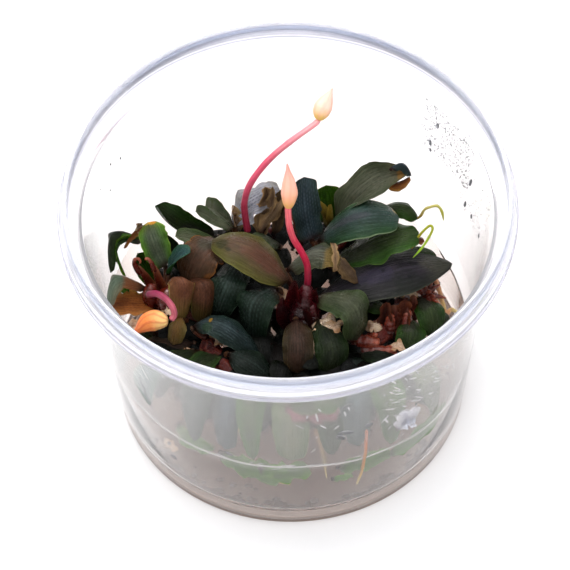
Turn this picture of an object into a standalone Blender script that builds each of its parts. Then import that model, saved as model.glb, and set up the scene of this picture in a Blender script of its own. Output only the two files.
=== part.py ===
"""Bucephalandra grown in a clear culture cup, standing on its foot.

The cup's axis is Z, its foot rests on Z = 0 and the front of the plant looks along -Y.
Sizes and places are written in millimetres and become metres when a mesh is made.
"""

import math

import bmesh
import bpy
import numpy as np

MM = 0.001
GAP = 0.3  # air kept between pieces that touch

# Driving sizes of the cup
CUP_HEIGHT = 71.0
RIM_RADIUS = 50.0
LIP_RADIUS = 47.5  # inside of the lip
LEDGE_RADIUS = 44.6  # inside edge of the lid ledge
LEDGE_DROP = 6.5
SKIRT_DROP = 6.0
FOOT_RADIUS = 40.7
WALL = 0.8
FLOOR = 1.7
HEEL_HEIGHT = 5.4
CUP_SEGMENTS = 56

# Culture gel, which has slumped towards +X
GEL_TOP = 26.3
GEL_SLUMP = 0.004  # drop in mm for each square mm past the start of the slump
GEL_SLUMP_FROM = -5.0
GEL_SEGMENTS = 48

# Leaf, stalk and rhizome meshes
LEAF_THICKNESS = 0.6
LEAF_STEPS = 8
PETIOLE_HALF_WIDTH = 0.65
PETIOLE_SHARE = 0.08  # of the leaf's length
STALK_SIDES = 8
ROOT_SIDES = 5
RHIZOME_SIDES = 8

# Creeping stems: points along the middle with the radius there
RHIZOMES = {
    "rhizome_centre": [(1, -18, 28, 1.3), (0.5, -10, 28.7, 2.0), (2.5, -4, 29.4, 2.7), (3.5, -2, 33, 1.8)],
    "rhizome_left": [(-20, -5, 28.2, 1.4), (-24.5, -2, 28.9, 2.1), (-28, 1.5, 29.4, 2.6),
                     (-28.5, 1.5, 33, 1.8)],
    "rhizome_back": [(-3, 22, 28.2, 1.4), (-7, 18, 28.9, 2.1), (-9.5, 15, 29.4, 2.5),
                     (-9.5, 13.5, 32.5, 1.6)],
    "rhizome_back_right": [(17, 23, 26.8, 1.4), (12, 18.5, 28.2, 2.0), (8.5, 14, 29, 2.4),
                           (7.5, 12, 32, 1.6)],
    "rhizome_right": [(14.5, -11.5, 27.4, 1.6), (19, -9.5, 27.6, 2.6), (24, -4, 27.2, 3.0),
                      (27, 2.5, 26.2, 2.2)],
    "rhizome_front": [(-10, -25, 28.2, 1.4), (-14, -18.5, 28.9, 2.0), (-18, -12.5, 29.2, 2.4),
                      (-18.5, -10.5, 31.5, 1.6)],
}

# Flower stalks: points along the middle
STALK_RADIUS = 0.75
STALKS = {
    "flower_stalk_tall": [(-9.2, 16.3, 34.5), (-9.7, 18, 39), (-9.7, 19, 43), (-8.1, 20, 48.3),
                          (-4.2, 21.5, 54.2), (1, 22.5, 59.8), (6.8, 24, 64.3)],
    "flower_stalk_middle": [(3.8, -2.2, 35.3), (4.1, -0.5, 40), (4, 1, 42.5), (3, 2, 45.5), (1.2, 3, 49.5),
                            (0.3, 4, 53), (0.1, 5.4, 56.8)],
    "flower_stalk_left": [(-30.5, -0.6, 34.6), (-31.5, -3, 38.5), (-29.5, -5, 41.3), (-27.5, -7.3, 42.5),
                          (-26.1, -9.3, 42), (-25.8, -10.3, 40.6)],
}

# Flower sheaths: foot, belly and tip of the axis, and the widest radius
SPATHES = {
    "spathe_tall": ((7.3, 24.4, 64.9), (8.7, 26.3, 67.4), (10.7, 29, 70.2), 2.1),
    "spathe_middle": ((0.2, 5.6, 57.4), (0.5, 8.5, 62), (0.2, 11.5, 66), 1.8),
    "spathe_left": ((-27.2, -11.3, 39.6), (-31.2, -10.8, 39.2), (-35.3, -12.8, 37), 2.4),
}

# Leaves: foot, middle and tip of the midrib, width, rise of the margins in degrees
# (less than nothing where they droop) and roll about the midrib in degrees
LEAVES = {
    "leaf_olive_broad": ((-0.5, 1.2, 36), (-8, 3.5, 45), (-17, 8, 43), 9.4, -20, 5),
    "leaf_brown_draped": ((-13, 11, 34), (-18.5, 6, 41.5), (-23, 4, 35), 6.6, -25, 0),
    "leaf_green_trough": ((-16, 18, 30.5), (-24.5, 15.5, 37.5), (-30, 18, 43.5), 7.6, 40, -5),
    "leaf_grey_blunt": ((-12.5, 18, 34.5), (-16, 17, 41.5), (-18.5, 16, 45.5), 4.4, 15, -10),
    "leaf_grey_small": ((-12.5, 20.5, 29.2), (-18.2, 21.5, 34), (-21, 21, 37), 3.4, 15, 0),
    "leaf_grey_pointed": ((-14.5, 12, 32.5), (-21.5, 11.2, 38.6), (-25.5, 10.7, 41.6), 4.4, 15, 0),
    "leaf_shaded_left": ((-23, 10, 28.5), (-26.5, 12, 33), (-28.5, 14, 37), 4.0, 10, 0),
    "leaf_teal_hanging": ((-10.4, 9, 33.5), (-13.9, -0.7, 39), (-17, -3.8, 30.5), 7.4, -25, 0),
    "leaf_teal_wide": ((-2.5, 0, 33), (-8.5, -6.5, 38.5), (-8.5, -9.5, 28.5), 9.2, -25, 0),
    "leaf_blue_arch": ((-20.5, -9.5, 32.5), (-15.5, -10.5, 37), (-8, -14, 30), 6.0, -25, 0),
    "leaf_teal_front": ((-14.4, -15, 31.6), (-9, -18.5, 33.3), (-4, -21, 28.3), 6.4, -20, 0),
    "leaf_torn_green": ((-28, 7.5, 33.5), (-30.5, 9, 41), (-31.5, 11.5, 46), 6.4, 15, 0),
    "leaf_deep_green": ((-30, 4, 31), (-33, 5.5, 36.5), (-34, 7, 40.5), 4.8, 15, 0),
    "leaf_curled_left": ((-32.5, 13, 35.5), (-39, 10, 44), (-40.5, 5, 36), 5.6, -35, 0),
    "leaf_blue_small": ((-27, 6, 34.5), (-25, 5.5, 40), (-23, 4.5, 43.5), 4.2, 15, 0),
    "leaf_purple_inner": ((-26.5, 2.5, 34.5), (-23, -2.5, 40), (-24, -6, 33), 4.8, -35, 0),
    "leaf_purple_outer": ((-24.3, 3.8, 32.5), (-19.4, -2.2, 38), (-20.4, -5.2, 31.5), 4.6, -35, 0),
    "leaf_brown_arch": ((-32, 1.8, 31.5), (-38.5, 1, 39.5), (-41.2, -2.5, 34), 4.6, -30, 0),
    "leaf_tan_withered": ((-31, 0, 29.8), (-36.5, -1, 32), (-40.3, 0.5, 30.5), 5.2, 15, 0),
    "leaf_olive_small": ((-24.6, -6.4, 32), (-26, -8.6, 33.6), (-27.5, -11, 31.4), 4.2, -20, 0),
    "leaf_dark_low": ((-22, -10, 28.2), (-28, -10.6, 29.8), (-34, -9, 28.4), 4.8, -15, 0),
    "leaf_slate_upright": ((5.5, 14, 33.5), (4, 16.5, 42), (4, 20, 50), 5.8, 20, 0),
    "leaf_back_dark": ((9.2, 19.2, 32.5), (9.3, 22, 37.8), (9, 23.7, 41.8), 6.4, 15, 0),
    "leaf_folded_top": ((10.5, 17, 33), (17.8, 20.8, 45.3), (27, 21, 49.5), 6.8, 30, 0),
    "leaf_blue_broad": ((7.8, 13, 34.5), (15, 12, 45), (24.5, 13.5, 43.5), 8.6, -20, 0),
    "leaf_green_under": ((10.5, 9, 31), (19.5, 9.5, 38.5), (29, 11, 40), 7.8, -15, 0),
    "leaf_green_glossy": ((14.5, 20.5, 31), (24.5, 19, 39.5), (29.5, 17, 38), 4.6, -30, 0),
    "leaf_slate_spotted": ((6.5, -1, 31), (24, 2.5, 36.5), (35, 5, 35), 9.6, -15, 0),
    "leaf_green_behind": ((14, 7.5, 28.5), (26, 9.5, 32.5), (33.5, 10.5, 31.5), 4.6, -15, 0),
    "leaf_torn_grey": ((1.5, 4.5, 33), (6, 5, 41.5), (11.5, 3, 42), 6.4, -30, 0),
    "leaf_grey_low": ((-2, 14.5, 30.5), (-5, 13.5, 36), (-8, 11.5, 37.5), 3.4, -15, 0),
    "leaf_bent_grey": ((6.5, -2.5, 33.5), (14.5, -8, 38.5), (14, -11.5, 31), 7.6, -25, 0),
    "leaf_dark_front": ((5.5, -6, 31.5), (9, -14.5, 33.5), (8, -19.5, 28.5), 7.8, -25, 0),
    "leaf_mauve_front": ((1.2, -6.8, 32.3), (1.5, -14.5, 34.5), (1, -19.5, 29.8), 6.4, -20, 0),
    "leaf_green_square": ((28.6, 1, 28.5), (31.5, -5.5, 32.5), (32, -10, 28.5), 6.4, -20, 0),
    "leaf_green_edged": ((27.2, -5.5, 29), (27, -10.5, 31.5), (25.5, -14.5, 28), 6.0, -20, 0),
    "leaf_low_right": ((16, -13.6, 27), (19.5, -14.8, 29.5), (23.5, -15.8, 27.5), 3.4, -15, 0),
    "leaf_low_teal": ((12.5, -14, 27), (13.5, -17, 29.5), (14.5, -20, 27), 4.4, -15, 0),
    "leaf_front_left": ((-20.5, -13.5, 30.5), (-27, -19, 35.5), (-30, -24, 29), 6.0, -25, 0),
    "leaf_front_upright": ((-17, -15.5, 31.5), (-19.5, -22, 38), (-21.5, -28, 38.5), 5.4, 20, 0),
    "leaf_front_middle": ((-10.5, -22, 30.5), (-8, -28.5, 36.5), (-7.5, -35, 34), 6.6, -20, 0),
    "leaf_front_right": ((2, -20, 28.5), (7.5, -27.5, 34.5), (10, -33, 31), 6.8, -20, 0),
    "leaf_front_far": ((20.3, -18.5, 25.2), (26, -23.5, 31.5), (31, -27.2, 28), 6.0, -20, 0),
    "leaf_withered_brown": ((-6.5, 15.5, 31.5), (-4.5, 19.5, 40), (-5, 20.5, 46), 5.0, 20, 0),
}

# Free roots: points along the middle
ROOT_RADIUS = 0.3
ROOTS = {
    "root_hooked": [(30.4, 16.9, 38.3), (31.5, 17.5, 40), (34, 17.5, 41), (35.2, 16.5, 40),
                    (35.5, 15.5, 38)],
    "root_looped": [(28.4, 9.4, 37.2), (30, 9.8, 41), (32, 10.5, 43), (32.5, 9.5, 42.5), (30.5, 7.5, 39.5),
                    (28, 5.8, 37.2)],
}

# Colours: red, green and blue, with roughness
CLEAR = ((0.93, 0.94, 0.95), 0.12)
GEL = ((0.86, 0.86, 0.82), 0.15)
RHIZOME_RED = ((0.20, 0.05, 0.03), 0.45)
STALK_RED = ((0.72, 0.09, 0.19), 0.35)
SPATHE_PEACH = ((0.93, 0.55, 0.40), 0.45)
ROOT_GREEN = ((0.55, 0.55, 0.12), 0.5)
LEAF_ROUGHNESS = 0.35
LEAF_GREEN = (0.05, 0.09, 0.05)
LEAF_COLOURS = {
    "olive": (0.20, 0.15, 0.05), "brown": (0.17, 0.09, 0.05), "tan": (0.40, 0.22, 0.09),
    "purple": (0.15, 0.07, 0.05), "mauve": (0.14, 0.08, 0.06), "teal": (0.03, 0.08, 0.08),
    "blue": (0.04, 0.10, 0.11), "slate": (0.05, 0.06, 0.08), "grey": (0.09, 0.12, 0.09),
    "green": (0.05, 0.12, 0.04),
}


def clear_scene():
    """Takes out everything that the file opened with."""
    for obj in list(bpy.data.objects):
        bpy.data.objects.remove(obj, do_unlink=True)


def material(name, colour, roughness, alpha=1.0):
    """A Principled material of one colour."""
    made = bpy.data.materials.new(name)
    made.use_nodes = True
    shader = made.node_tree.nodes["Principled BSDF"]
    shader.inputs["Base Color"].default_value = (*colour, 1.0)
    shader.inputs["Roughness"].default_value = roughness
    shader.inputs["Metallic"].default_value = 0.0
    shader.inputs["Alpha"].default_value = alpha
    made.diffuse_color = (*colour, alpha)
    return made


def add_object(name, mesh, finish, smooth_angle=40):
    """Puts a mesh in the scene, shaded smooth up to smooth_angle."""
    obj = bpy.data.objects.new(name, mesh)
    bpy.context.scene.collection.objects.link(obj)
    mesh.materials.append(finish)
    mesh.shade_smooth()
    mesh.set_sharp_from_angle(angle=math.radians(smooth_angle))
    return obj


def mesh_from(name, points_mm, faces):
    """A mesh of points in millimetres, with its normals made to face out."""
    mesh = bpy.data.meshes.new(name)
    mesh.from_pydata([tuple(np.asarray(p) * MM) for p in points_mm], [], faces)
    work = bmesh.new()
    work.from_mesh(mesh)
    bmesh.ops.recalc_face_normals(work, faces=work.faces)
    work.to_mesh(mesh)
    work.free()
    return mesh


def turned(name, profile, segments):
    """Spins a profile of (radius, height) points, whose ends lie on the axis, once round Z."""
    work = bmesh.new()
    corners = [work.verts.new((r * MM, 0, z * MM)) for r, z in profile]
    edges = [work.edges.new(pair) for pair in zip(corners, corners[1:])]
    bmesh.ops.spin(work, geom=corners + edges, cent=(0, 0, 0), axis=(0, 0, 1), dvec=(0, 0, 0),
                   angle=math.tau, steps=segments, use_merge=True, use_duplicate=False)
    bmesh.ops.remove_doubles(work, verts=work.verts, dist=1e-6)
    bmesh.ops.recalc_face_normals(work, faces=work.faces)
    mesh = bpy.data.meshes.new(name)
    work.to_mesh(mesh)
    work.free()
    return mesh


def rings_closed(rings):
    """Points and faces of a skin over equal rings, closed by a flat face at each end."""
    sides = len(rings[0])
    points = [p for ring in rings for p in ring]
    faces = []
    for i in range(len(rings) - 1):
        for j in range(sides):
            k = (j + 1) % sides
            faces.append((i * sides + j, i * sides + k, (i + 1) * sides + k, (i + 1) * sides + j))
    faces.append(tuple(range(sides))[::-1])
    faces.append(tuple(range((len(rings) - 1) * sides, len(rings) * sides)))
    return points, faces


def smooth_path(points, steps):
    """Catmull-Rom curve through the points, with the same number of steps in each stretch."""
    given = np.array(points, float)
    ends = np.vstack([2 * given[0] - given[1], given, 2 * given[-1] - given[-2]])
    t = np.arange(steps)[:, None] / steps
    path = []
    for a, b, c, d in zip(ends, ends[1:], ends[2:], ends[3:]):
        path.append(0.5 * (2 * b + (c - a) * t + (2 * a - 5 * b + 4 * c - d) * t ** 2
                           + (3 * b - a - 3 * c + d) * t ** 3))
    return np.vstack([*path, given[-1:]])


def unit(v):
    return v / np.linalg.norm(v)


def tube_rings(path, radii, sides):
    """Rings square to the path, each turned as little as possible from the one before."""
    tangents = np.gradient(path, axis=0)
    side = unit(np.cross(tangents[0], (0.31, 0.47, 0.83)))
    angles = np.arange(sides) * math.tau / sides
    rings = []
    for centre, tangent, radius in zip(path, tangents, radii):
        tangent = unit(tangent)
        side = unit(side - tangent * (side @ tangent))
        other = np.cross(tangent, side)
        rings.append([centre + radius * (math.cos(a) * side + math.sin(a) * other) for a in angles])
    return rings


def make_cup(finish):
    """The cup: foot ring and heel, tapered wall, lid ledge, upright lip and the skirt outside it."""
    ledge = CUP_HEIGHT - LEDGE_DROP
    skirt = CUP_HEIGHT - SKIRT_DROP
    profile = [
        (0, FLOOR - WALL), (FOOT_RADIUS - 3.4, FLOOR - WALL), (FOOT_RADIUS - 2.9, 0),
        (FOOT_RADIUS - 0.5, 0), (FOOT_RADIUS, 0.5), (FOOT_RADIUS, HEEL_HEIGHT),
        (FOOT_RADIUS + 0.5, HEEL_HEIGHT + 0.6), (LEDGE_RADIUS + WALL, ledge - 1.2),
        (LIP_RADIUS + 1.0, ledge), (RIM_RADIUS, skirt), (RIM_RADIUS - 0.5, skirt + 2.8),
        (LIP_RADIUS + 1.1, skirt + 3.4), (LIP_RADIUS + 0.8, CUP_HEIGHT - 0.3),
        (LIP_RADIUS + 0.4, CUP_HEIGHT), (LIP_RADIUS, CUP_HEIGHT - 0.4), (LIP_RADIUS - 0.2, ledge),
        (LEDGE_RADIUS + 0.2, ledge), (LEDGE_RADIUS, ledge - 0.5),
        (FOOT_RADIUS + 0.5 - WALL, HEEL_HEIGHT + 1.0), (FOOT_RADIUS - WALL, HEEL_HEIGHT),
        (FOOT_RADIUS - WALL, FLOOR + 0.9), (FOOT_RADIUS - WALL - 0.9, FLOOR), (0, FLOOR),
    ]
    add_object("culture_cup", turned("culture_cup", profile, CUP_SEGMENTS), finish, 25)


def wall_radius(z):
    """Inside radius of the cup's wall at a height above the heel."""
    foot = (FOOT_RADIUS + 0.5 - WALL, HEEL_HEIGHT + 1.0)
    top = (LEDGE_RADIUS, CUP_HEIGHT - LEDGE_DROP - 0.5)
    return foot[0] + (top[0] - foot[0]) * (z - foot[1]) / (top[1] - foot[1])


def gel_height(x):
    """Height of the gel's surface, level on the left and falling in a curve towards +X."""
    return GEL_TOP - GEL_SLUMP * max(0.0, x - GEL_SLUMP_FROM) ** 2


def make_gel(finish):
    """The gel that fills the cup's foot, with a gap all round and its surface at gel_height."""
    inside = FOOT_RADIUS - WALL - GAP
    below = [(inside - 0.9, FLOOR + GAP), (inside, FLOOR + 0.9 + GAP), (inside, HEEL_HEIGHT + 0.2),
             (inside + 0.45, HEEL_HEIGHT + 1.2)]
    angles = np.arange(GEL_SEGMENTS) * math.tau / GEL_SEGMENTS
    rings = [[(r * math.cos(a), r * math.sin(a), z) for a in angles] for r, z in below]
    edge = wall_radius(GEL_TOP)
    for share in (1.0, 0.66, 0.33):
        ring = []
        for a in angles:
            z = gel_height(share * edge * math.cos(a))
            r = share * (wall_radius(z) - GAP)
            ring.append((r * math.cos(a), r * math.sin(a), z))
        rings.append(ring)
    points, faces = rings_closed(rings)
    centre = len(points)
    last = centre - GEL_SEGMENTS
    points.append((0, 0, gel_height(0)))
    faces.pop()
    faces += [(last + j, last + (j + 1) % GEL_SEGMENTS, centre) for j in range(GEL_SEGMENTS)]
    add_object("culture_gel", mesh_from("culture_gel", points, faces), finish, 30)


def make_tube(name, points, radius, sides, finish):
    """A closed tube of one radius along a smooth path."""
    path = smooth_path(points, 2)
    rings = tube_rings(path, [radius] * len(path), sides)
    add_object(name, mesh_from(name, *rings_closed(rings)), finish, 60)


def make_rhizome(name, rows, finish):
    """A creeping stem, drawn in between its joints and closing in at both ends."""
    path = smooth_path([row[:3] for row in rows], 3)
    spots = np.linspace(0, 1, len(path))
    radii = np.interp(spots, np.linspace(0, 1, len(rows)), [row[3] for row in rows])
    radii[1::2] *= 0.88
    radii[[0, -1]] *= 0.6
    rings = tube_rings(path, radii, RHIZOME_SIDES)
    add_object(name, mesh_from(name, *rings_closed(rings)), finish, 60)


def make_spathe(name, foot, belly, tip, radius, finish):
    """A closed bud: a lathe shape bent along its axis, fullest below the middle, with a beak."""
    path = smooth_path([foot, belly, tip], 4)
    share = np.array([0.36, 0.72, 0.93, 1.0, 0.93, 0.76, 0.52, 0.26, 0.12])
    rings = tube_rings(path, radius * share, STALK_SIDES)
    add_object(name, mesh_from(name, *rings_closed(rings)), finish, 70)


def half_width(u, width):
    """Half the leaf's width at a share u of its length: a thin stalk, then an oval blade."""
    along = (u - PETIOLE_SHARE) / (1 - PETIOLE_SHARE)
    if not 0 < along < 1:
        return PETIOLE_HALF_WIDTH
    oval = math.sin(math.pi * along ** 0.85) ** 0.65
    return PETIOLE_HALF_WIDTH + (width / 2 - PETIOLE_HALF_WIDTH) * oval


def leaf_grid(foot, middle, tip, width, rise, roll):
    """Rows of three points, margin, midrib and margin, along a leaf.

    The midrib is the parabola through foot, middle and tip. The blade lies square to the
    upright plane of its ends, rolled about the midrib, with its margins lifted by rise.
    """
    foot, middle, tip = (np.array(p, float) for p in (foot, middle, tip))
    bend = 2 * middle - (foot + tip) / 2
    across = unit(np.cross((0, 0, 1), tip - foot))
    turn, lift = math.radians(roll), math.radians(rise)
    rows = []
    for u in np.linspace(0, 1, LEAF_STEPS + 1):
        spot = (1 - u) ** 2 * foot + 2 * u * (1 - u) * bend + u ** 2 * tip
        tangent = unit((1 - u) * (bend - foot) + u * (tip - bend))
        side = unit(across - tangent * (across @ tangent))
        face = np.cross(tangent, side)
        side, face = (side * math.cos(turn) + face * math.sin(turn),
                      face * math.cos(turn) - side * math.sin(turn))
        reach = half_width(u, width)
        rows.append([spot - reach * (math.cos(lift) * side - math.sin(lift) * face), spot,
                     spot + reach * (math.cos(lift) * side + math.sin(lift) * face)])
    return rows


def make_leaf(name, row, finish):
    """A leaf: its middle surface given an even thickness."""
    rows = leaf_grid(*row)
    points = [p for line in rows for p in line]
    faces = [(3 * i + j, 3 * i + j + 1, 3 * i + j + 4, 3 * i + j + 3)
             for i in range(LEAF_STEPS) for j in (0, 1)]
    mesh = bpy.data.meshes.new(name)
    mesh.from_pydata([tuple(p * MM) for p in points], [], faces)
    leaf = add_object(name, mesh, finish, 60)
    body = leaf.modifiers.new("Blade", "SOLIDIFY")
    body.thickness = LEAF_THICKNESS * MM
    body.offset = 0.0


def leaf_finish(name, made):
    """The material for the colour word in a leaf's name, made once."""
    word = next((part for part in name.split("_") if part in LEAF_COLOURS), "dark")
    if word not in made:
        made[word] = material("leaf_" + word, LEAF_COLOURS.get(word, LEAF_GREEN), LEAF_ROUGHNESS)
    return made[word]


def main():
    clear_scene()
    make_cup(material("clear_plastic", *CLEAR, alpha=0.3))
    make_gel(material("clear_gel", *GEL, alpha=0.5))
    rhizome_red = material("rhizome_red", *RHIZOME_RED)
    for name, rows in RHIZOMES.items():
        make_rhizome(name, rows, rhizome_red)
    stalk_red = material("stalk_red", *STALK_RED)
    for name, points in STALKS.items():
        make_tube(name, points, STALK_RADIUS, STALK_SIDES, stalk_red)
    peach = material("spathe_peach", *SPATHE_PEACH)
    for name, row in SPATHES.items():
        make_spathe(name, *row, peach)
    root_green = material("root_green", *ROOT_GREEN)
    for name, points in ROOTS.items():
        make_tube(name, points, ROOT_RADIUS, ROOT_SIDES, root_green)
    finishes = {}
    for name, row in LEAVES.items():
        make_leaf(name, row, leaf_finish(name, finishes))


main()
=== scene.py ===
"""Bucephalandra grown in a clear culture cup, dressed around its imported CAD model.

Sizes and places are written in millimetres, in the CAD model's own frame, and become metres
when a mesh is made. Colours are written as they look on a screen, from 0 to 255.
"""

from __future__ import annotations

import logging
import math
from dataclasses import dataclass, field
from enum import Enum

import bpy  # noqa: E402
import numpy as np  # noqa: E402
from bpy.types import Material, Node, NodeOutputs, NodeSocket, NodeTree, Object  # noqa: E402
from mathutils import Matrix, Vector  # noqa: E402

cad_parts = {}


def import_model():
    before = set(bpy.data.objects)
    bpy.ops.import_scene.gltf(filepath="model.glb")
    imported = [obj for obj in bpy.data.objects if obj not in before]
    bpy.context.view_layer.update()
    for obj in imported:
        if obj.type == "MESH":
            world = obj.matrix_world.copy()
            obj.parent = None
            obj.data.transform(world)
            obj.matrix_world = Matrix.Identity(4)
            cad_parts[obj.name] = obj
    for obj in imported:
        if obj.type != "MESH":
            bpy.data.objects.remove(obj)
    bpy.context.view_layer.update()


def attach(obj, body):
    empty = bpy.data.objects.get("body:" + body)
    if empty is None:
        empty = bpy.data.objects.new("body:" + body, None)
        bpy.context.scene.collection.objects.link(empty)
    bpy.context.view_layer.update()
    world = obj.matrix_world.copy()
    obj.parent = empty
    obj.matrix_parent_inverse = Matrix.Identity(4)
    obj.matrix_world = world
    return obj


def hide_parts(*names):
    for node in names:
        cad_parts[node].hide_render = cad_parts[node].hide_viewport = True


LOG = logging.getLogger("culture_cup")
MM = 0.001
BODY = "root"
# a direction that no tube starts along, which its first side direction is taken from
ASKEW = (0.31, 0.47, 0.83)
Point = tuple[float, float, float]
Colour = tuple[int, int, int]


# ---------------------------------------------------------------- numbers and curves


def unit(v: np.ndarray) -> np.ndarray:
    """Vectors of length one along the last axis."""
    return v / np.maximum(np.linalg.norm(v, axis=-1, keepdims=True), 1e-12)


def linear(colour: Colour) -> tuple[float, float, float, float]:
    """A screen colour as the linear colour that a shader takes.

    Args:
        colour: red, green and blue from 0 to 255.

    Returns:
        Red, green, blue and alpha.
    """
    c = np.array(colour, float) / 255
    value = np.where(c <= 0.04045, c / 12.92, ((c + 0.055) / 1.055) ** 2.4)
    return (*(float(x) for x in value), 1.0)


def smooth_path(points: list | np.ndarray, count: int) -> np.ndarray:
    """A Catmull-Rom curve through rows of numbers, with its stations even by length.

    Each stretch b to c is half of 2b + (c - a)t + (2a - 5b + 4c - d)t2 + (3b - a - 3c + d)t3.

    Args:
        points: rows whose first three columns are a place; more columns are carried along.
        count: how many stations come back.

    Returns:
        An array of count rows.
    """
    given = np.asarray(points, float)
    ends = np.vstack([2 * given[0] - given[1], given, 2 * given[-1] - given[-2]])
    t = np.linspace(0, 1, 12, endpoint=False)[None, :, None]
    a, b, c, d = (ends[i:len(ends) - 3 + i, None, :] for i in range(4))
    dense = 0.5 * (2 * b + (c - a) * t + (2 * a - 5 * b + 4 * c - d) * t ** 2
                   + (3 * b - a - 3 * c + d) * t ** 3)
    dense = np.vstack([dense.reshape(-1, given.shape[1]), given[-1:]])
    steps = np.linalg.norm(np.diff(dense[:, :3], axis=0), axis=1)
    length = np.concatenate([[0], np.cumsum(steps)])
    wanted = np.linspace(0, length[-1], count)
    return np.stack([np.interp(wanted, length, column) for column in dense.T], axis=1)


def carried_frames(path: np.ndarray) -> tuple[np.ndarray, np.ndarray]:
    """Two directions square to a path, turned as little as possible from station to station.

    Args:
        path: stations along the path.

    Returns:
        The side direction and the one square to it and to the path, at each station.
    """
    tangent = unit(np.gradient(path, axis=0))
    side = unit(np.cross(tangent[0], ASKEW))
    sides = []
    for along in tangent:
        side = unit(side - along * (side @ along))
        sides.append(side)
    sides = np.array(sides)
    return sides, np.cross(tangent, sides)


def waves(x: np.ndarray, seed: int, turns: float) -> np.ndarray:
    """An uneven line: four sines, each half as strong and 1.7 times as fast as the last.

    Args:
        x: where along the line.
        seed: picks the phases.
        turns: waves of the first sine over a length of one.

    Returns:
        The line's height, between about -1 and 1.
    """
    phases = np.random.default_rng(seed).uniform(0, math.tau, 4)
    parts = [0.5 ** k * np.sin(math.tau * turns * (1.7 ** k) * x + phase)
             for k, phase in enumerate(phases)]
    return sum(parts) / 1.6


def step_up(x: np.ndarray, low: float, high: float) -> np.ndarray:
    """A smooth rise from 0 at low to 1 at high, as 3t2 - 2t3."""
    t = np.clip((x - low) / (high - low), 0, 1)
    return t * t * (3 - 2 * t)


# ---------------------------------------------------------------- meshes


@dataclass
class Skin:
    """A closed surface over equal rings, with a point closing each end.

    Attributes:
        rings: places in millimetres, as stations by ring points by three.
        along: the U coordinate of each station.
        around: the V coordinate of each ring point, and of the first one again at the end.
        upper: how far each point is on the upper side, from 0 to 1, as stations by ring points.
        shade: one number for the whole surface, which its finish reads.
    """

    rings: np.ndarray
    along: np.ndarray
    around: np.ndarray
    upper: np.ndarray | None = None
    shade: float = 0.5

    def points(self) -> np.ndarray:
        """All points, the two closing ones last."""
        flat = self.rings.reshape(-1, 3)
        return np.vstack([flat, self.rings[0].mean(0), self.rings[-1].mean(0)])

    def sides_up(self) -> np.ndarray:
        """The upper value of each point."""
        n, m, _ = self.rings.shape
        values = np.full((n, m), 0.5) if self.upper is None else self.upper
        return np.concatenate([values.ravel(), [values[0].mean(), values[-1].mean()]])

    def quads(self) -> tuple[np.ndarray, np.ndarray]:
        """Four-cornered faces between the rings, and the UV place of each corner."""
        n, m, _ = self.rings.shape
        i, j = np.meshgrid(np.arange(n - 1), np.arange(m), indexing="ij")
        k = (j + 1) % m
        faces = np.stack([i * m + j, i * m + k, (i + 1) * m + k, (i + 1) * m + j], -1)
        u0, u1 = self.along[i], self.along[i + 1]
        v0, v1 = self.around[j], self.around[j + 1]
        uv = np.stack([np.stack(c, -1) for c in ((u0, v0), (u0, v1), (u1, v1), (u1, v0))], -2)
        return faces.reshape(-1, 4), uv.reshape(-1, 4, 2)

    def fans(self) -> tuple[np.ndarray, np.ndarray]:
        """Three-cornered faces that close both ends, and the UV place of each corner."""
        n, m, _ = self.rings.shape
        j = np.arange(m)
        k = (j + 1) % m
        v0, v1 = self.around[j], self.around[j + 1]
        half = (v0 + v1) / 2
        last = (n - 1) * m
        faces = np.vstack([np.stack([np.full(m, n * m), k, j], 1),
                           np.stack([np.full(m, n * m + 1), last + j, last + k], 1)])
        ends = ((self.along[0], (half, v1, v0)), (self.along[-1], (half, v0, v1)))
        uv = np.vstack([np.stack([np.stack([np.full(m, u), v], 1) for v in order], 1)
                        for u, order in ends])
        return faces, uv


def make_piece(name: str, skins: list[Skin], finish: Material,
               stands_for: tuple[str, ...] = (), crease: float = 60.0) -> Object:
    """Joins surfaces into one mesh, and makes it a piece of the object.

    Args:
        name: the piece's name.
        skins: its surfaces.
        finish: its material.
        stands_for: CAD nodes that it replaces.
        crease: the angle in degrees past which an edge is sharp.

    Returns:
        The new object.
    """
    points, corners, totals, places, ups, shades = [], [], [], [], [], []
    base = 0
    for skin in skins:
        here = skin.points()
        for faces, uv in (skin.quads(), skin.fans()):
            corners.append((faces + base).ravel())
            totals.append(np.full(len(faces), faces.shape[1]))
            places.append(uv.reshape(-1, 2))
        points.append(here)
        ups.append(skin.sides_up())
        shades.append(np.full(len(here), skin.shade))
        base += len(here)
    vertex, total = np.vstack(points) * MM, np.concatenate(totals)
    mesh = bpy.data.meshes.new(name)
    mesh.vertices.add(len(vertex))
    mesh.vertices.foreach_set("co", vertex.ravel())
    index = np.concatenate(corners)
    mesh.loops.add(len(index))
    mesh.loops.foreach_set("vertex_index", index.astype(np.int32))
    mesh.polygons.add(len(total))
    mesh.polygons.foreach_set("loop_start", (np.cumsum(total) - total).astype(np.int32))
    mesh.polygons.foreach_set("loop_total", total.astype(np.int32))
    mesh.update(calc_edges=True)
    mesh.validate()
    mesh.uv_layers.new(name="UVMap").data.foreach_set("uv", np.vstack(places).ravel())
    for label, values in (("upper", ups), ("shade", shades)):
        made = mesh.attributes.new(label, "FLOAT", "POINT")
        made.data.foreach_set("value", np.concatenate(values).astype(np.float32))
    mesh.materials.append(finish)
    mesh.shade_smooth()
    mesh.set_sharp_from_angle(angle=math.radians(crease))
    piece = bpy.data.objects.new(name, mesh)
    bpy.context.scene.collection.objects.link(piece)
    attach(piece, BODY)
    if stands_for:
        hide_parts(*stands_for)
    LOG.info("%s: %d faces", name, len(total))
    return piece


def ring_shares(sides: int) -> np.ndarray:
    """The V coordinate round a ring, from 0 to 1 with both ends."""
    return np.linspace(0, 1, sides + 1)


def ring_angles(sides: int) -> np.ndarray:
    """The angle of each point round a ring."""
    return np.arange(sides) * math.tau / sides


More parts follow.
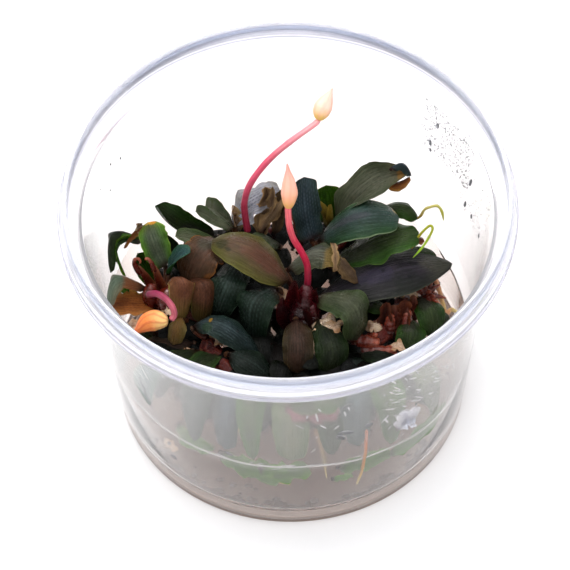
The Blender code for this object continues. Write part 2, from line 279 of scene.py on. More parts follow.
def on_ring(r: np.ndarray | float, a: np.ndarray, z: np.ndarray | float) -> np.ndarray:
    """Places at (r cos a, r sin a, z)."""
    return np.stack(np.broadcast_arrays(r * np.cos(a), r * np.sin(a), z), -1)


def rings_round(path: np.ndarray, reach: np.ndarray) -> np.ndarray:
    """Rings round a path, each point at centre + r(side cos a + other sin a).

    Args:
        path: the rings' centres.
        reach: the radius r, as stations by ring points.

    Returns:
        Places, as stations by ring points by three.
    """
    side, other = carried_frames(path)
    a = ring_angles(reach.shape[1])[None, :, None]
    r = reach[..., None]
    return path[:, None] + r * np.cos(a) * side[:, None] + r * np.sin(a) * other[:, None]


def tube_skin(points: list | np.ndarray, sides: int, count: int, seed: int, bumps: float,
              close: float = 0.15) -> Skin:
    """A tube of changing radius along a smooth path, rounded off at both ends.

    The radius is taken from the rows, made uneven by waves of the station and the angle, and
    drawn in at the ends as a quarter circle.

    Args:
        points: rows of x, y, z and radius.
        sides: points in a ring.
        count: stations along the path.
        seed: picks the unevenness.
        bumps: the unevenness as a share of the radius.
        close: length of the rounding at each end, as a share of the whole.

    Returns:
        The surface.
    """
    path = smooth_path(points, count)
    u = np.linspace(0, 1, count)
    end = np.minimum(np.minimum(u, 1 - u) / close, 1)
    radius = path[:, 3] * np.sqrt(1 - (1 - end) ** 2 * 0.97)
    uneven = 1 + bumps * (waves(u, seed, 3)[:, None] * np.cos(ring_angles(sides) + seed)[None]
                          + waves(u, seed + 7, 5)[:, None])
    return Skin(rings_round(path[:, :3], radius[:, None] * uneven), u, ring_shares(sides))


# ---------------------------------------------------------------- node graphs


class Graph:
    """Adds nodes to a node tree and wires them."""

    def __init__(self, tree: NodeTree) -> None:
        """Works on the given tree."""
        self.tree = tree

    def add(self, kind: str, inputs: dict | None = None, **settings) -> Node:
        """Adds one node.

        Args:
            kind: its type name.
            inputs: values or sockets for its inputs, by name or number.
            settings: values for the node's own properties.

        Returns:
            The node.
        """
        node = self.tree.nodes.new(kind)
        for key, value in settings.items():
            setattr(node, key, value)
        self.fill(node, inputs or {})
        return node

    def fill(self, node: Node, inputs: dict) -> None:
        """Links a node's inputs to sockets, or sets their own values.

        Args:
            node: the node.
            inputs: sockets or values, by the input's name or number.
        """
        for key, value in inputs.items():
            if isinstance(value, NodeSocket):
                self.tree.links.new(value, node.inputs[key])
            else:
                node.inputs[key].default_value = value

    def math(self, operation: str, a: object, b: object = 0.0, c: object = 0.0) -> NodeSocket:
        """One operation on up to three numbers."""
        return self.add("ShaderNodeMath", {0: a, 1: b, 2: c}, operation=operation).outputs[0]

    def times(self, a: object, b: object) -> NodeSocket:
        """The product of two numbers."""
        return self.math("MULTIPLY", a, b)

    def plus(self, a: object, b: object) -> NodeSocket:
        """The sum of two numbers."""
        return self.math("ADD", a, b)

    def span(self, value: object, low: float, high: float, to_low: float = 0.0,
             to_high: float = 1.0) -> NodeSocket:
        """A smooth step from one range to another.

        Args:
            value: what is mapped.
            low: where the step begins.
            high: where it ends.
            to_low: what it gives before the step.
            to_high: what it gives past it.

        Returns:
            The mapped value.
        """
        node = self.add("ShaderNodeMapRange", {
            "Value": value, "From Min": low, "From Max": high, "To Min": to_low,
            "To Max": to_high}, interpolation_type="SMOOTHSTEP")
        return node.outputs[0]

    def mix(self, share: object, a: object, b: object, blend: str = "MIX") -> NodeSocket:
        """A mix of two colours."""
        node = self.add("ShaderNodeMix", {0: share, 6: a, 7: b}, data_type="RGBA",
                        blend_type=blend)
        return node.outputs[2]

    def noise(self, place: object, scale: float, detail: float = 3.0, rough: float = 0.5,
              stretch: Point | None = None) -> NodeSocket:
        """A cloudy value over a place.

        Args:
            place: where it is looked up.
            scale: how many clouds a length of one takes up.
            detail: how many finer layers it has.
            rough: their strength.
            stretch: factors on the three parts of the place.

        Returns:
            The value, from 0 to 1.
        """
        if stretch is not None:
            place = self.add("ShaderNodeMapping", {"Vector": place, "Scale": stretch}).outputs[0]
        node = self.add("ShaderNodeTexNoise", {"Vector": place, "Scale": scale,
                                               "Detail": detail, "Roughness": rough})
        return node.outputs["Fac"]

    def attribute(self, name: str) -> NodeSocket:
        """The value of a mesh attribute."""
        return self.add("ShaderNodeAttribute", attribute_name=name).outputs["Fac"]

    def parts(self, vector: NodeSocket) -> NodeOutputs:
        """The three parts of a vector."""
        return self.add("ShaderNodeSeparateXYZ", {0: vector}).outputs

    def bump(self, height: object, strength: float, distance: float) -> NodeSocket:
        """A normal tilted by a height that stands for up to a distance in metres."""
        return self.add("ShaderNodeBump", {"Height": height, "Strength": strength,
                                           "Distance": distance}).outputs[0]

    def group(self, tree: NodeTree, **inputs) -> NodeOutputs:
        """The outputs of a node group whose inputs are given by name."""
        return self.add("ShaderNodeGroup", inputs, node_tree=tree).outputs


FLOAT, VECTOR = "NodeSocketFloat", "NodeSocketVector"


def new_group(name: str, inputs: dict[str, str], outputs: tuple[str, ...]) -> tuple[
        NodeTree, Graph, NodeOutputs, Node]:
    """Starts a shader node group that gives out numbers.

    Args:
        name: its name.
        inputs: socket types by name.
        outputs: the names of the numbers that it gives.

    Returns:
        The group, its graph, its input sockets by name and its output node.
    """
    tree = bpy.data.node_groups.new(name, "ShaderNodeTree")
    for label, kind in inputs.items():
        tree.interface.new_socket(label, in_out="INPUT", socket_type=kind)
    for label in outputs:
        tree.interface.new_socket(label, in_out="OUTPUT", socket_type=FLOAT)
    graph = Graph(tree)
    given = graph.add("NodeGroupInput").outputs
    return tree, graph, given, graph.add("NodeGroupOutput")


class Effects:
    """The node groups that several finishes share, each made once."""

    def __init__(self) -> None:
        """Makes every group."""
        self.blade = self._blade()
        self.mottle = self._mottle()
        self.stripes = self._stripes()

    def _blade(self) -> NodeTree:
        """Masks over a leaf's own UV: midrib, flank, margin, tip, foot and side veins."""
        tree, g, given, out = new_group("leaf_blade_masks", {"UV": VECTOR, "Warp": FLOAT}, (
            "Midrib", "Flank", "Margin", "Tip", "Foot", "Veins"))
        parts = g.parts(given["UV"])
        along = g.plus(parts[0], g.times(given["Warp"], 0.12))
        across = g.math("ABSOLUTE", g.math("SUBTRACT", g.times(parts[1], 2.0), 1.0))
        edge = g.plus(across, g.times(given["Warp"], 0.3))
        arc = g.math("SUBTRACT", g.times(along, 15.0), g.times(across, 4.5))
        wave = g.math("SINE", g.times(arc, math.tau))
        long_lines = g.math("SINE", g.times(across, 38.0))
        both = g.plus(g.times(wave, 0.35), g.times(long_lines, 0.65))
        g.fill(out, {
            "Midrib": g.span(across, 0.0, 0.07, 1.0, 0.0), "Flank": g.span(edge, 0.2, 1.0),
            "Margin": g.span(across, 0.93, 0.995), "Tip": g.span(along, 0.72, 1.0),
            "Foot": g.span(along, 0.02, 0.2, 1.0, 0.0), "Veins": g.span(both, 0.1, 1.0)})
        return tree

    def _mottle(self) -> NodeTree:
        """Blotches a few millimetres wide, a fine grain and small cells, over a place."""
        tree, g, given, out = new_group("mottled_tissue", {"Place": VECTOR, "Scale": FLOAT}, (
            "Blotch", "Grain", "Cells"))
        place = given["Place"]
        cells = g.add("ShaderNodeTexVoronoi", {"Vector": place, "Scale": 2600.0})
        g.fill(out, {
            "Blotch": g.span(g.noise(place, given["Scale"], 4.0, 0.6), 0.36, 0.66),
            "Grain": g.noise(place, 2200.0, 2.0), "Cells": cells.outputs["Distance"]})
        return tree

    def _stripes(self) -> NodeTree:
        """Lines that run along a piece, side by side round it, broken by a noise."""
        tree, g, given, out = new_group(
            "lengthwise_stripes", {"UV": VECTOR, "Place": VECTOR, "Count": FLOAT}, ("Lines",))
        drift = g.times(g.noise(given["Place"], 260.0), 5.0)
        turns = g.times(g.parts(given["UV"])[1], given["Count"])
        wave = g.math("SINE", g.math("MULTIPLY_ADD", turns, math.tau, drift))
        g.fill(out, {"Lines": g.span(wave, -0.2, 1.0)})
        return tree


def new_material(name: str) -> tuple[Material, Graph, Node]:
    """Starts a material.

    Args:
        name: its name.

    Returns:
        The material, its graph and its Principled shader.
    """
    made = bpy.data.materials.new(name)
    made.use_nodes = True
    graph = Graph(made.node_tree)
    return made, graph, made.node_tree.nodes["Principled BSDF"]


# ---------------------------------------------------------------- finishes


FOOT_COLOUR, SPOT_COLOUR = (46, 22, 16), (12, 12, 16)
# noise scales over places in metres
LEAF_CLOUDS, LEAF_BLOTCHES, LEAF_SPOTS, STEM_BLOTCHES = 330.0, 230.0, 330.0, 420.0
# how deep red, green and blue light goes in, in metres
LEAF_DEPTHS, STEM_DEPTHS = (0.0012, 0.001, 0.0005), (0.0015, 0.0008, 0.0005)
# heights between which the painted shade low down among the leaves fades out, in metres
PAINTED_SHADE_LOW, PAINTED_SHADE_HIGH = 26 * MM, 39 * MM


@dataclass(frozen=True)
class LeafFinish:
    """How one kind of leaf looks.

    Attributes:
        body: the blade's colour.
        blotch: colour of its blotches.
        line: colour of its veins.
        margin: colour of its edge.
        tip: colour of its last fifth.
        under: colour of its lower side.
        margin_share: strength of the edge's colour.
        tip_share: strength of the tip's colour.
        line_share: strength of the veins.
        spot_share: strength of dark spots.
        gloss: roughness where it is smoothest.
        glow: share of light that goes into the blade and comes out again.
        edge: colour of the thin line along its margin.
        edge_share: strength of that line.
        patches: stains, each a place along and across, two half sizes, a colour and a strength.
        shine: strength of its highlights.
    """

    body: Colour
    blotch: Colour
    line: Colour
    margin: Colour
    tip: Colour
    under: Colour
    margin_share: float = 0.6
    tip_share: float = 0.2
    line_share: float = 0.25
    spot_share: float = 0.0
    gloss: float = 0.22
    glow: float = 0.0
    edge: Colour = (122, 126, 84)
    edge_share: float = 0.3
    patches: tuple = ()
    shine: float = 0.08

    def material(self, name: str, effects: Effects) -> Material:
        """Makes the leaf's material.

        Args:
            name: the material's name.
            effects: the shared node groups.

        Returns:
            The material.
        """
        made, g, shader = new_material(name)
        coords = g.add("ShaderNodeTexCoord").outputs
        place, uv = coords["Object"], coords["UV"]
        warp = g.math("SUBTRACT", g.noise(place, LEAF_CLOUDS), 0.5)
        masks = g.group(effects.blade, UV=uv, Warp=warp)
        tissue = g.group(effects.mottle, Place=place, Scale=LEAF_BLOTCHES)
        colour = g.mix(tissue["Blotch"], linear(self.body), linear(self.blotch))
        for mask, share, over in (
                ("Veins", self.line_share, self.line), ("Midrib", 0.35, self.line),
                ("Flank", self.margin_share, self.margin), ("Tip", self.tip_share, self.tip)):
            colour = g.mix(g.times(masks[mask], share), colour, linear(over))
        for patch in self.patches:
            colour = self.stain(g, uv, warp, colour, patch)
        colour = g.mix(g.times(masks["Margin"], self.edge_share), colour, linear(self.edge))
        below = g.span(g.attribute("upper"), 0.3, 0.6, 1.0, 0.0)
        colour = g.mix(below, colour, linear(self.under))
        colour = g.mix(masks["Foot"], colour, linear(FOOT_COLOUR))
        # painted shade and light: the shade number and the darkening low down multiply the colour
        painted_shade_and_streaks = self.painted_shade_and_streaks(g, place, uv)
        grey = g.add("ShaderNodeCombineColor", {0: painted_shade_and_streaks, 1: painted_shade_and_streaks, 2: painted_shade_and_streaks}).outputs[0]
        colour = g.mix(1.0, colour, grey, "MULTIPLY")
        if self.spot_share:
            spots = g.add("ShaderNodeTexVoronoi", {"Vector": place, "Scale": LEAF_SPOTS})
            dots = g.span(spots.outputs["Distance"], 0.1, 0.2, self.spot_share, 0.0)
            colour = g.mix(dots, colour, linear(SPOT_COLOUR))
        relief = g.plus(g.times(masks["Veins"], 0.35), g.times(tissue["Cells"], 0.3))
        folds = g.noise(uv, 5.0, 3.0, 0.5, (1.0, 4.0, 1.0))
        g.fill(shader, {
            "Base Color": colour,
            "Roughness": g.plus(g.span(tissue["Blotch"], 0.0, 1.0, self.gloss, self.gloss + 0.14),
                                g.times(tissue["Grain"], 0.08)),
            "Specular IOR Level": self.shine, "Subsurface Weight": self.glow,
            "Subsurface Radius": LEAF_DEPTHS, "Subsurface Scale": 1.0,
            "Normal": g.bump(g.plus(relief, g.times(folds, 2.6)), 0.5, 0.0003)})
        return made

    def painted_shade_and_streaks(self, g: Graph, place: NodeSocket, uv: NodeSocket) -> NodeSocket:
        """How light the blade is: its shade number, painted shade low down and lengthwise streaks.

        Args:
            g: the material's graph.
            place: the place in the object.
            uv: the blade's own UV.

        Returns:
            A factor on the colour.
        """
        shade = g.attribute("shade")
        # painted shade: low among the leaves a blade falls to 0.22 of its colour, unless its shade
        # number is over about 0.6
        low = g.span(g.parts(place)[2], PAINTED_SHADE_LOW, PAINTED_SHADE_HIGH, 0.22, 1.0)
        deep = g.math("MAXIMUM", low, g.span(shade, 0.55, 0.65))
        streak = g.noise(uv, 4.0, 4.0, 0.6, (1.0, 7.5, 1.0))
        return g.times(g.times(deep, g.span(shade, 0.0, 1.0, 0.08, 1.36)),
                       g.span(streak, 0.3, 0.7, 0.66, 1.2))

    def stain(self, g: Graph, uv: NodeSocket, warp: NodeSocket,
              colour: NodeSocket, patch: tuple) -> NodeSocket:
        """Lays one uneven stain over a colour.

        Args:
            g: the material's graph.
            uv: the blade's own UV.
            warp: a cloudy value that breaks the stain's outline.
            colour: the colour under it.
            patch: place along and across, two half sizes, colour and strength.

        Returns:
            The colour with the stain.
        """
        u, v, long, wide, stain, share = patch
        parts = g.parts(uv)
        along = g.math("DIVIDE", g.math("SUBTRACT", parts[0], u), long)
        across = g.math("DIVIDE", g.math("SUBTRACT", parts[1], v), wide)
        far = g.math("SQRT", g.plus(g.times(along, along), g.times(across, across)))
        far = g.plus(far, g.times(warp, 0.9))
        return g.mix(g.span(far, 0.55, 1.05, share, 0.0), colour, linear(stain))


class Leaf(Enum):
    """The kinds of leaf: how each looks, and the record's slot that it belongs to."""

    DARK = ("leaf_dark", LeafFinish(
        (42, 50, 32), (24, 32, 20), (56, 66, 42), (38, 64, 22), (54, 60, 28), (44, 76, 26),
        edge=(96, 112, 60)))
    OLIVE = ("leaf_olive", LeafFinish(
        (98, 74, 60), (80, 66, 46), (108, 84, 60), (86, 84, 38), (92, 92, 40), (64, 78, 34),
        margin_share=0.9, tip_share=0.5, edge=(140, 136, 70), edge_share=0.5, patches=(
            (0.86, 0.62, 0.1, 0.2, (46, 50, 30), 0.7), (0.76, 0.72, 0.05, 0.07, (44, 44, 28), 0.7),
            (0.97, 0.6, 0.04, 0.3, (70, 56, 30), 0.7),
            (0.35, 0.5, 0.3, 0.28, (104, 64, 52), 0.6))))
    BROWN = ("leaf_brown", LeafFinish(
        (88, 62, 48), (64, 52, 42), (64, 42, 36), (88, 62, 38), (96, 66, 40), (70, 50, 34),
        margin_share=0.5, tip_share=0.35, edge=(168, 108, 52), edge_share=0.7, patches=(
            (0.85, 0.95, 0.14, 0.1, (140, 88, 46), 0.6),
            (0.35, 0.4, 0.2, 0.25, (72, 70, 56), 0.6))))
    ARCHED = ("leaf_blue", LeafFinish(
        (46, 58, 60), (26, 38, 38), (74, 90, 92), (28, 46, 34), (38, 58, 46), (44, 58, 36),
        line_share=0.45, gloss=0.2, edge=(88, 104, 92), patches=(
            (0.33, 0.55, 0.035, 0.13, (150, 112, 36), 0.9),
            (0.3, 0.25, 0.12, 0.2, (44, 66, 40), 0.6))))
    CREASED = ("leaf_dark", LeafFinish(
        (88, 90, 74), (68, 72, 54), (58, 60, 50), (56, 68, 40), (96, 74, 42), (66, 76, 44),
        margin_share=0.45, tip_share=0.35, line_share=0.5, gloss=0.42, edge=(110, 112, 84),
        patches=((0.93, 0.5, 0.06, 0.5, (128, 92, 44), 0.8),)))
    TORN_END = ("leaf_grey", LeafFinish(
        (86, 87, 76), (66, 68, 54), (102, 104, 92), (58, 66, 40), (108, 86, 46), (62, 72, 44),
        tip_share=0.6, edge=(130, 128, 92), patches=(
            (0.86, 0.5, 0.16, 0.9, (112, 92, 46), 0.85), (0.5, 0.7, 0.2, 0.2, (60, 62, 60), 0.6))))
    AMBER = ("leaf_olive", LeafFinish(
        (126, 96, 54), (100, 74, 42), (88, 62, 38), (140, 126, 70), (152, 134, 78), (112, 90, 50),
        line_share=0.4, glow=0.2, edge=(180, 164, 108), edge_share=0.6))
    GARNET = ("rhizome_red", LeafFinish(
        (98, 34, 24), (58, 16, 12), (128, 54, 38), (120, 60, 40), (170, 108, 84), (92, 30, 22),
        line_share=0.4, tip_share=0.5, gloss=0.2, glow=0.15, edge=(170, 100, 70), edge_share=0.5))
    SHEATHED = ("leaf_brown", LeafFinish(
        (92, 106, 90), (72, 84, 70), (112, 124, 106), (104, 82, 54), (100, 112, 96), (96, 142, 62),
        margin_share=0.5, edge=(136, 84, 50), edge_share=0.8, patches=(
            (0.25, 0.5, 0.2, 0.9, (118, 66, 40), 0.8),)))
    TAN = ("leaf_tan", LeafFinish(
        (146, 84, 40), (112, 62, 32), (86, 48, 26), (168, 108, 56), (150, 96, 50),
        (130, 76, 40), line_share=0.7, gloss=0.35, glow=0.15))
    WITHERED = ("leaf_tan", LeafFinish(
        (130, 106, 80), (94, 74, 58), (74, 58, 48), (164, 132, 88), (148, 114, 72),
        (116, 92, 66), line_share=0.7, gloss=0.55, edge=(176, 142, 96), edge_share=0.6))
    PAPERY = ("leaf_tan", LeafFinish(
        (212, 188, 160), (122, 80, 50), (92, 56, 36), (176, 132, 92), (210, 182, 150),
        (184, 148, 114), line_share=0.85, gloss=0.08, glow=0.2, edge=(104, 60, 34),
        edge_share=0.85, spot_share=0.75, shine=0.7))
    STRAW = ("leaf_tan", LeafFinish(
        (140, 122, 44), (112, 92, 38), (96, 78, 34), (176, 148, 62), (150, 112, 50),
        (120, 104, 40), line_share=0.6, gloss=0.4))
    PURPLE = ("leaf_purple", LeafFinish(
        (122, 78, 58), (96, 58, 40), (66, 38, 30), (106, 74, 40), (124, 116, 48),
        (84, 50, 38), margin_share=0.5, tip_share=0.5, line_share=0.6, gloss=0.3,
        edge=(164, 164, 80), edge_share=0.6))
    MAUVE = ("leaf_mauve", LeafFinish(
        (68, 48, 38), (46, 36, 28), (88, 64, 54), (58, 52, 28), (76, 62, 36), (70, 52, 38),
        line_share=0.45, gloss=0.26, edge=(128, 118, 74)))
    TEAL = ("leaf_teal", LeafFinish(
        (37, 49, 42), (20, 30, 23), (68, 83, 78), (24, 42, 26), (32, 50, 34), (38, 54, 32),
        line_share=0.45, gloss=0.18, edge=(78, 96, 76)))
    BLUE = ("leaf_blue", LeafFinish(
        (56, 73, 70), (42, 58, 50), (78, 92, 90), (42, 70, 40), (50, 76, 44), (46, 66, 34),
        margin_share=0.9, line_share=0.3, edge=(140, 158, 120), edge_share=0.7, patches=(
            (0.45, 0.5, 0.3, 0.12, (66, 62, 72), 0.5),
            (0.97, 0.85, 0.03, 0.2, (150, 128, 70), 0.8))))
    SEA = ("leaf_blue", LeafFinish(
        (54, 80, 82), (42, 64, 62), (72, 98, 98), (46, 84, 54), (50, 88, 56), (50, 96, 44),
        edge=(84, 120, 76)))
    SLATE = ("leaf_slate", LeafFinish(
        (44, 56, 62), (30, 40, 42), (72, 84, 92), (28, 42, 32), (38, 52, 38), (40, 56, 36),
        line_share=0.6, edge=(84, 98, 84)))
    SPOTTED = ("leaf_slate", LeafFinish(
        (48, 42, 50), (30, 30, 32), (62, 56, 68), (34, 38, 28), (62, 64, 50), (48, 54, 38),
        margin_share=0.7, spot_share=0.9, gloss=0.24, edge=(100, 106, 84), patches=(
            (0.45, 0.5, 0.16, 0.2, (52, 46, 68), 0.5), (0.9, 0.5, 0.14, 0.5, (76, 76, 64), 0.6))))
    GREY = ("leaf_grey", LeafFinish(
        (82, 86, 66), (60, 66, 48), (102, 106, 84), (54, 72, 36), (66, 78, 40), (54, 84, 34),
        margin_share=0.7, edge=(128, 138, 96)))
    ASH = ("leaf_grey", LeafFinish(
        (166, 168, 180), (124, 126, 138), (88, 88, 98), (196, 196, 204), (150, 148, 150),
        (150, 152, 162), line_share=0.7, gloss=0.4, glow=0.2, edge=(210, 210, 216)))
    GREEN = ("leaf_green", LeafFinish(
        (52, 67, 34), (36, 48, 22), (70, 86, 46), (42, 78, 20), (54, 86, 24), (50, 92, 26),
        margin_share=0.75, edge=(112, 136, 66), patches=(
            (0.3, 0.4, 0.25, 0.3, (66, 60, 60), 0.45),)))
    TORN = ("leaf_green", LeafFinish(
        (84, 96, 76), (68, 76, 60), (104, 110, 88), (78, 120, 34), (120, 132, 44),
        (70, 118, 36), margin_share=0.9, tip_share=0.4, line_share=0.4, gloss=0.3,
        edge=(150, 168, 84), edge_share=0.5, patches=(
            (0.97, 0.25, 0.06, 0.3, (206, 140, 52), 0.95),
            (0.98, 0.6, 0.04, 0.3, (216, 178, 84), 0.8))))
    BRIGHT = ("leaf_green", LeafFinish(
        (70, 122, 28), (54, 96, 22), (104, 150, 48), (92, 146, 36), (104, 142, 44),
        (84, 140, 34), glow=0.15, edge=(150, 176, 84)))
    CRIMSON = ("rhizome_red", LeafFinish(
        (62, 10, 16), (36, 6, 10), (92, 20, 28), (84, 20, 24), (84, 34, 28), (64, 14, 14),
        line_share=0.4, gloss=0.2, glow=0.1, edge=(110, 40, 36)))
    ROSY = ("rhizome_red", LeafFinish(
        (158, 92, 108), (130, 74, 86), (170, 110, 122), (120, 92, 90), (160, 120, 120),
        (140, 84, 96), gloss=0.3, edge=(160, 130, 130)))
    RUST = ("rhizome_red", LeafFinish(
        (112, 48, 30), (70, 26, 18), (60, 22, 16), (132, 66, 42), (146, 88, 60), (96, 42, 28),
        line_share=0.7, gloss=0.24, glow=0.15, edge=(170, 108, 76), edge_share=0.5))

    def __init__(self, slot: str, finish: LeafFinish) -> None:
        """Keeps the slot and the finish by name."""
        self.slot = slot
        self.finish = finish


@dataclass(frozen=True)
class StemFinish:
    """How a stalk, sheath, root or rhizome looks.

    Attributes:
        foot: colour at its first end.
        middle: colour half way.
        head: colour at its last end.
        line: colour of its lengthwise lines.
        line_share: strength of the lines.
        gloss: roughness.
        glow: share of light that goes in and comes out again.
        relief: height of the bump in metres.
        lines: how many lines run round it.
        shine: strength of its highlights.
    """

    foot: Colour
    middle: Colour
    head: Colour
    line: Colour
    line_share: float = 0.3
    gloss: float = 0.35
    glow: float = 0.2
    relief: float = 0.0001
    lines: float = 7.0
    shine: float = 0.15

    def material(self, name: str, effects: Effects) -> Material:
        """Makes the material.

        Args:
            name: the material's name.
            effects: the shared node groups.

        Returns:
            The material.
        """
        made, g, shader = new_material(name)
        coords = g.add("ShaderNodeTexCoord").outputs
        place, uv = coords["Object"], coords["UV"]
        tissue = g.group(effects.mottle, Place=place, Scale=STEM_BLOTCHES)
        lines = g.group(effects.stripes, UV=uv, Place=place, Count=self.lines)["Lines"]
        warp = g.times(g.math("SUBTRACT", tissue["Blotch"], 0.5), 0.08)
        along = g.plus(g.parts(uv)[0], warp)
        colour = g.mix(g.span(along, 0.05, 0.5), linear(self.foot), linear(self.middle))
        colour = g.mix(g.span(along, 0.5, 0.97), colour, linear(self.head))
        colour = g.mix(g.times(lines, self.line_share), colour, linear(self.line))
        g.fill(shader, {
            "Base Color": colour,
            "Roughness": g.span(tissue["Grain"], 0.2, 0.8, self.gloss, self.gloss + 0.15),
            "Specular IOR Level": self.shine, "Subsurface Weight": self.glow,
            "Subsurface Radius": STEM_DEPTHS, "Subsurface Scale": 1.0,
            "Normal": g.bump(g.plus(g.times(lines, 0.6), tissue["Cells"]), 0.4, self.relief)})
        return made


@dataclass(frozen=True)
class ClearFinish:
    """How clear plastic, gel or water looks.

    Attributes:
        tint: the colour that it gives to what is seen through it.
        ior: how strongly it bends light.
        clear: share of the light that goes through.
        gloss: roughness.
        haze: how much rougher it is where it is cloudy.
        scale: size of the clouds, as a noise scale.
        relief: height of the bump in metres.
        bands: colour bands by height, each a low and a high z in millimetres and a colour.
    """

    tint: Colour
    ior: float
    clear: float
    gloss: float
    haze: float
    scale: float
    relief: float
    bands: tuple = ()

    def material(self, name: str) -> Material:
        """Makes the clear material.

        Args:
            name: the material's name.

        Returns:
            The material.
        """
        made, g, shader = new_material(name)
        place = g.add("ShaderNodeTexCoord").outputs["Object"]
        cloud = g.noise(place, self.scale, 4.0, 0.6)
        dimmer = tuple(max(0, c - 4) for c in self.tint)
        colour = g.mix(g.span(cloud, 0.3, 0.75), linear(self.tint), linear(dimmer))
        height = g.parts(place)[2]
        # on the rim these bands are painted reflections
        for low, high, band in self.bands:
            soft = 0.2 * (high - low)
            inside = g.times(g.span(height, (low - soft) * MM, (low + soft) * MM),
                             g.span(height, (high - soft) * MM, (high + soft) * MM, 1.0, 0.0))
            colour = g.mix(inside, colour, linear(band))
        g.fill(shader, {
            "Base Color": colour, "IOR": self.ior, "Transmission Weight": self.clear,
            "Roughness": g.span(cloud, 0.35, 0.7, self.gloss, self.gloss + self.haze)})
        if self.relief:
            g.fill(shader, {"Normal": g.bump(cloud, 0.4, self.relief)})
        return made


# ---------------------------------------------------------------- cup and gel


@dataclass
class CultureCup:
    """The clear cup: a foot ring, a tapered wall, a lid ledge, an upright lip and a skirt."""

    height: float = 71.0
    rim: float = 50.0
    lip: float = 47.5
    ledge: float = 44.6
    ledge_z: float = 64.5
    skirt_z: float = 65.0
    foot: float = 40.7
    wall: float = 0.8
    floor: float = 1.7
    heel: float = 5.4
    taper_to: float = 63.0
    sides: int = 288
    rim_from: float = 63.0
    wet_to: float = 25.0
    finish: ClearFinish = ClearFinish((255, 252, 251), 1.3, 0.95, 0.1, 0.05, 60.0, 0.0)
    wet_finish: ClearFinish = ClearFinish((255, 252, 251), 1.3, 0.985, 0.0, 0.02, 60.0, 0.0)
    foot_finish: ClearFinish = ClearFinish((252, 238, 231), 1.3, 0.78, 0.03, 0.04, 60.0, 0.0, (
        (-1.0, 1.5, (208, 178, 162)),))
    # the rim's lavender and blue-grey bands are painted reflections of the darker things round the
    # lip
    rim_finish: ClearFinish = ClearFinish((243, 243, 249), 1.45, 0.75, 0.05, 0.0, 40.0, 0.0, (
        (65.3, 66.0, (226, 225, 239)), (66.7, 67.1, (220, 220, 231)),
        (68.3, 70.4, (197, 204, 221))))

    def inner(self, z: np.ndarray | float) -> np.ndarray:
        """Inside radius of the wall at a height above the heel: a straight taper."""
        low, high = self.foot + 0.5 - self.wall, self.ledge
        return low + (high - low) * (np.asarray(z) - self.heel - 1) / (self.taper_to - self.heel)

    def profile(self) -> np.ndarray:
        """Radius and height round the cup's cut, from under its middle to the floor inside."""
        f, w, lip, top, skirt = self.foot, self.wall, self.lip, self.height, self.skirt_z
        return np.array([
            (0.01, self.floor - w), (f - 3.9, self.floor - w), (f - 3.5, self.floor - w - 0.1),
            (f - 3.1, 0.35), (f - 2.7, 0.06), (f - 2.4, 0), (f - 0.8, 0), (f - 0.4, 0.08),
            (f - 0.1, 0.3), (f, 0.7), (f, self.heel - 0.3), (f + 0.06, self.heel),
            (f + 0.44, self.heel + 0.6), (f + 0.52, self.heel + 0.9), (f + 1.745, self.wet_to),
            (f + 2.4, 35), (self.ledge + w - 0.1, self.ledge_z - 1.9),
            (self.ledge + w + 0.1, self.ledge_z - 1.2),
            (self.ledge + w + 0.6, self.ledge_z - 0.5), (lip + 0.6, self.ledge_z - 0.15),
            (lip + 1.0, self.ledge_z), (lip + 1.3, self.ledge_z + 0.5), (lip + 1.8, skirt + 0.4),
            (self.rim - 0.5, skirt), (self.rim - 0.1, skirt + 0.02), (self.rim, skirt + 0.25),
            (self.rim - 0.02, skirt + 0.6), (self.rim - 0.35, skirt + 0.95),
            (self.rim - 0.42, skirt + 1.5), (self.rim - 0.5, skirt + 2.3),
            (self.rim - 0.62, skirt + 2.9), (self.rim - 0.95, skirt + 3.15),
            (lip + 1.2, skirt + 3.2), (lip + 1.02, skirt + 3.35), (lip + 0.96, skirt + 3.8),
            (lip + 0.86, top - 0.75), (lip + 0.8, top - 0.3), (lip + 0.62, top - 0.06),
            (lip + 0.4, top), (lip + 0.16, top - 0.06), (lip + 0.02, top - 0.35),
            (lip - 0.04, top - 1.0), (lip - 0.18, self.ledge_z + 0.5),
            (lip - 0.35, self.ledge_z + 0.12), (lip - 0.7, self.ledge_z),
            (self.ledge + 0.35, self.ledge_z), (self.ledge + 0.1, self.ledge_z - 0.14),
            (self.ledge, self.ledge_z - 0.5), (f + 1.63, 35), (f + 0.96, self.wet_to),
            (f + 0.54 - w, self.heel + 1.4), (f + 0.42 - w, self.heel + 1.0),
            (f - w, self.heel), (f - w, self.floor + 0.9),
            (f - w - 0.25, self.floor + 0.28), (f - w - 0.9, self.floor), (0.01, self.floor)])

    def lathe(self, profile: np.ndarray) -> Skin:
        """A profile of radius and height carried once round Z.

        Args:
            profile: rows of radius and height.

        Returns:
            The surface, with each ring point at (r cos a, r sin a, z).
        """
        rings = on_ring(profile[:, :1], ring_angles(self.sides), profile[:, 1:])
        steps = np.linalg.norm(np.diff(profile, axis=0), axis=1)
        return Skin(rings, np.concatenate([[0], np.cumsum(steps)]), ring_shares(self.sides))

    def build(self) -> None:
        """Makes the cup: hazy wall, milkier rim and foot, and clearer where the gel wets it."""
        cup = make_piece("culture_cup_clear", [self.lathe(self.profile())],
                         self.finish.material("clear_plastic_wall"),
                         ("culture_cup",), 35)
        for finish, part in ((self.rim_finish, "rim"), (self.wet_finish, "wet"),
                             (self.foot_finish, "foot")):
            cup.data.materials.append(finish.material("clear_plastic_" + part))
        centres = np.empty(len(cup.data.polygons) * 3)
        cup.data.polygons.foreach_get("center", centres)
        height = centres.reshape(-1, 3)[:, 2] / MM
        # 0 is the wall, 1 the rim, 2 the wall that the gel wets and 3 the foot
        which = (height > self.rim_from) + 2 * (height < self.wet_to) + (height < self.heel)
        cup.data.polygons.foreach_set("material_index", which.astype(np.int32))


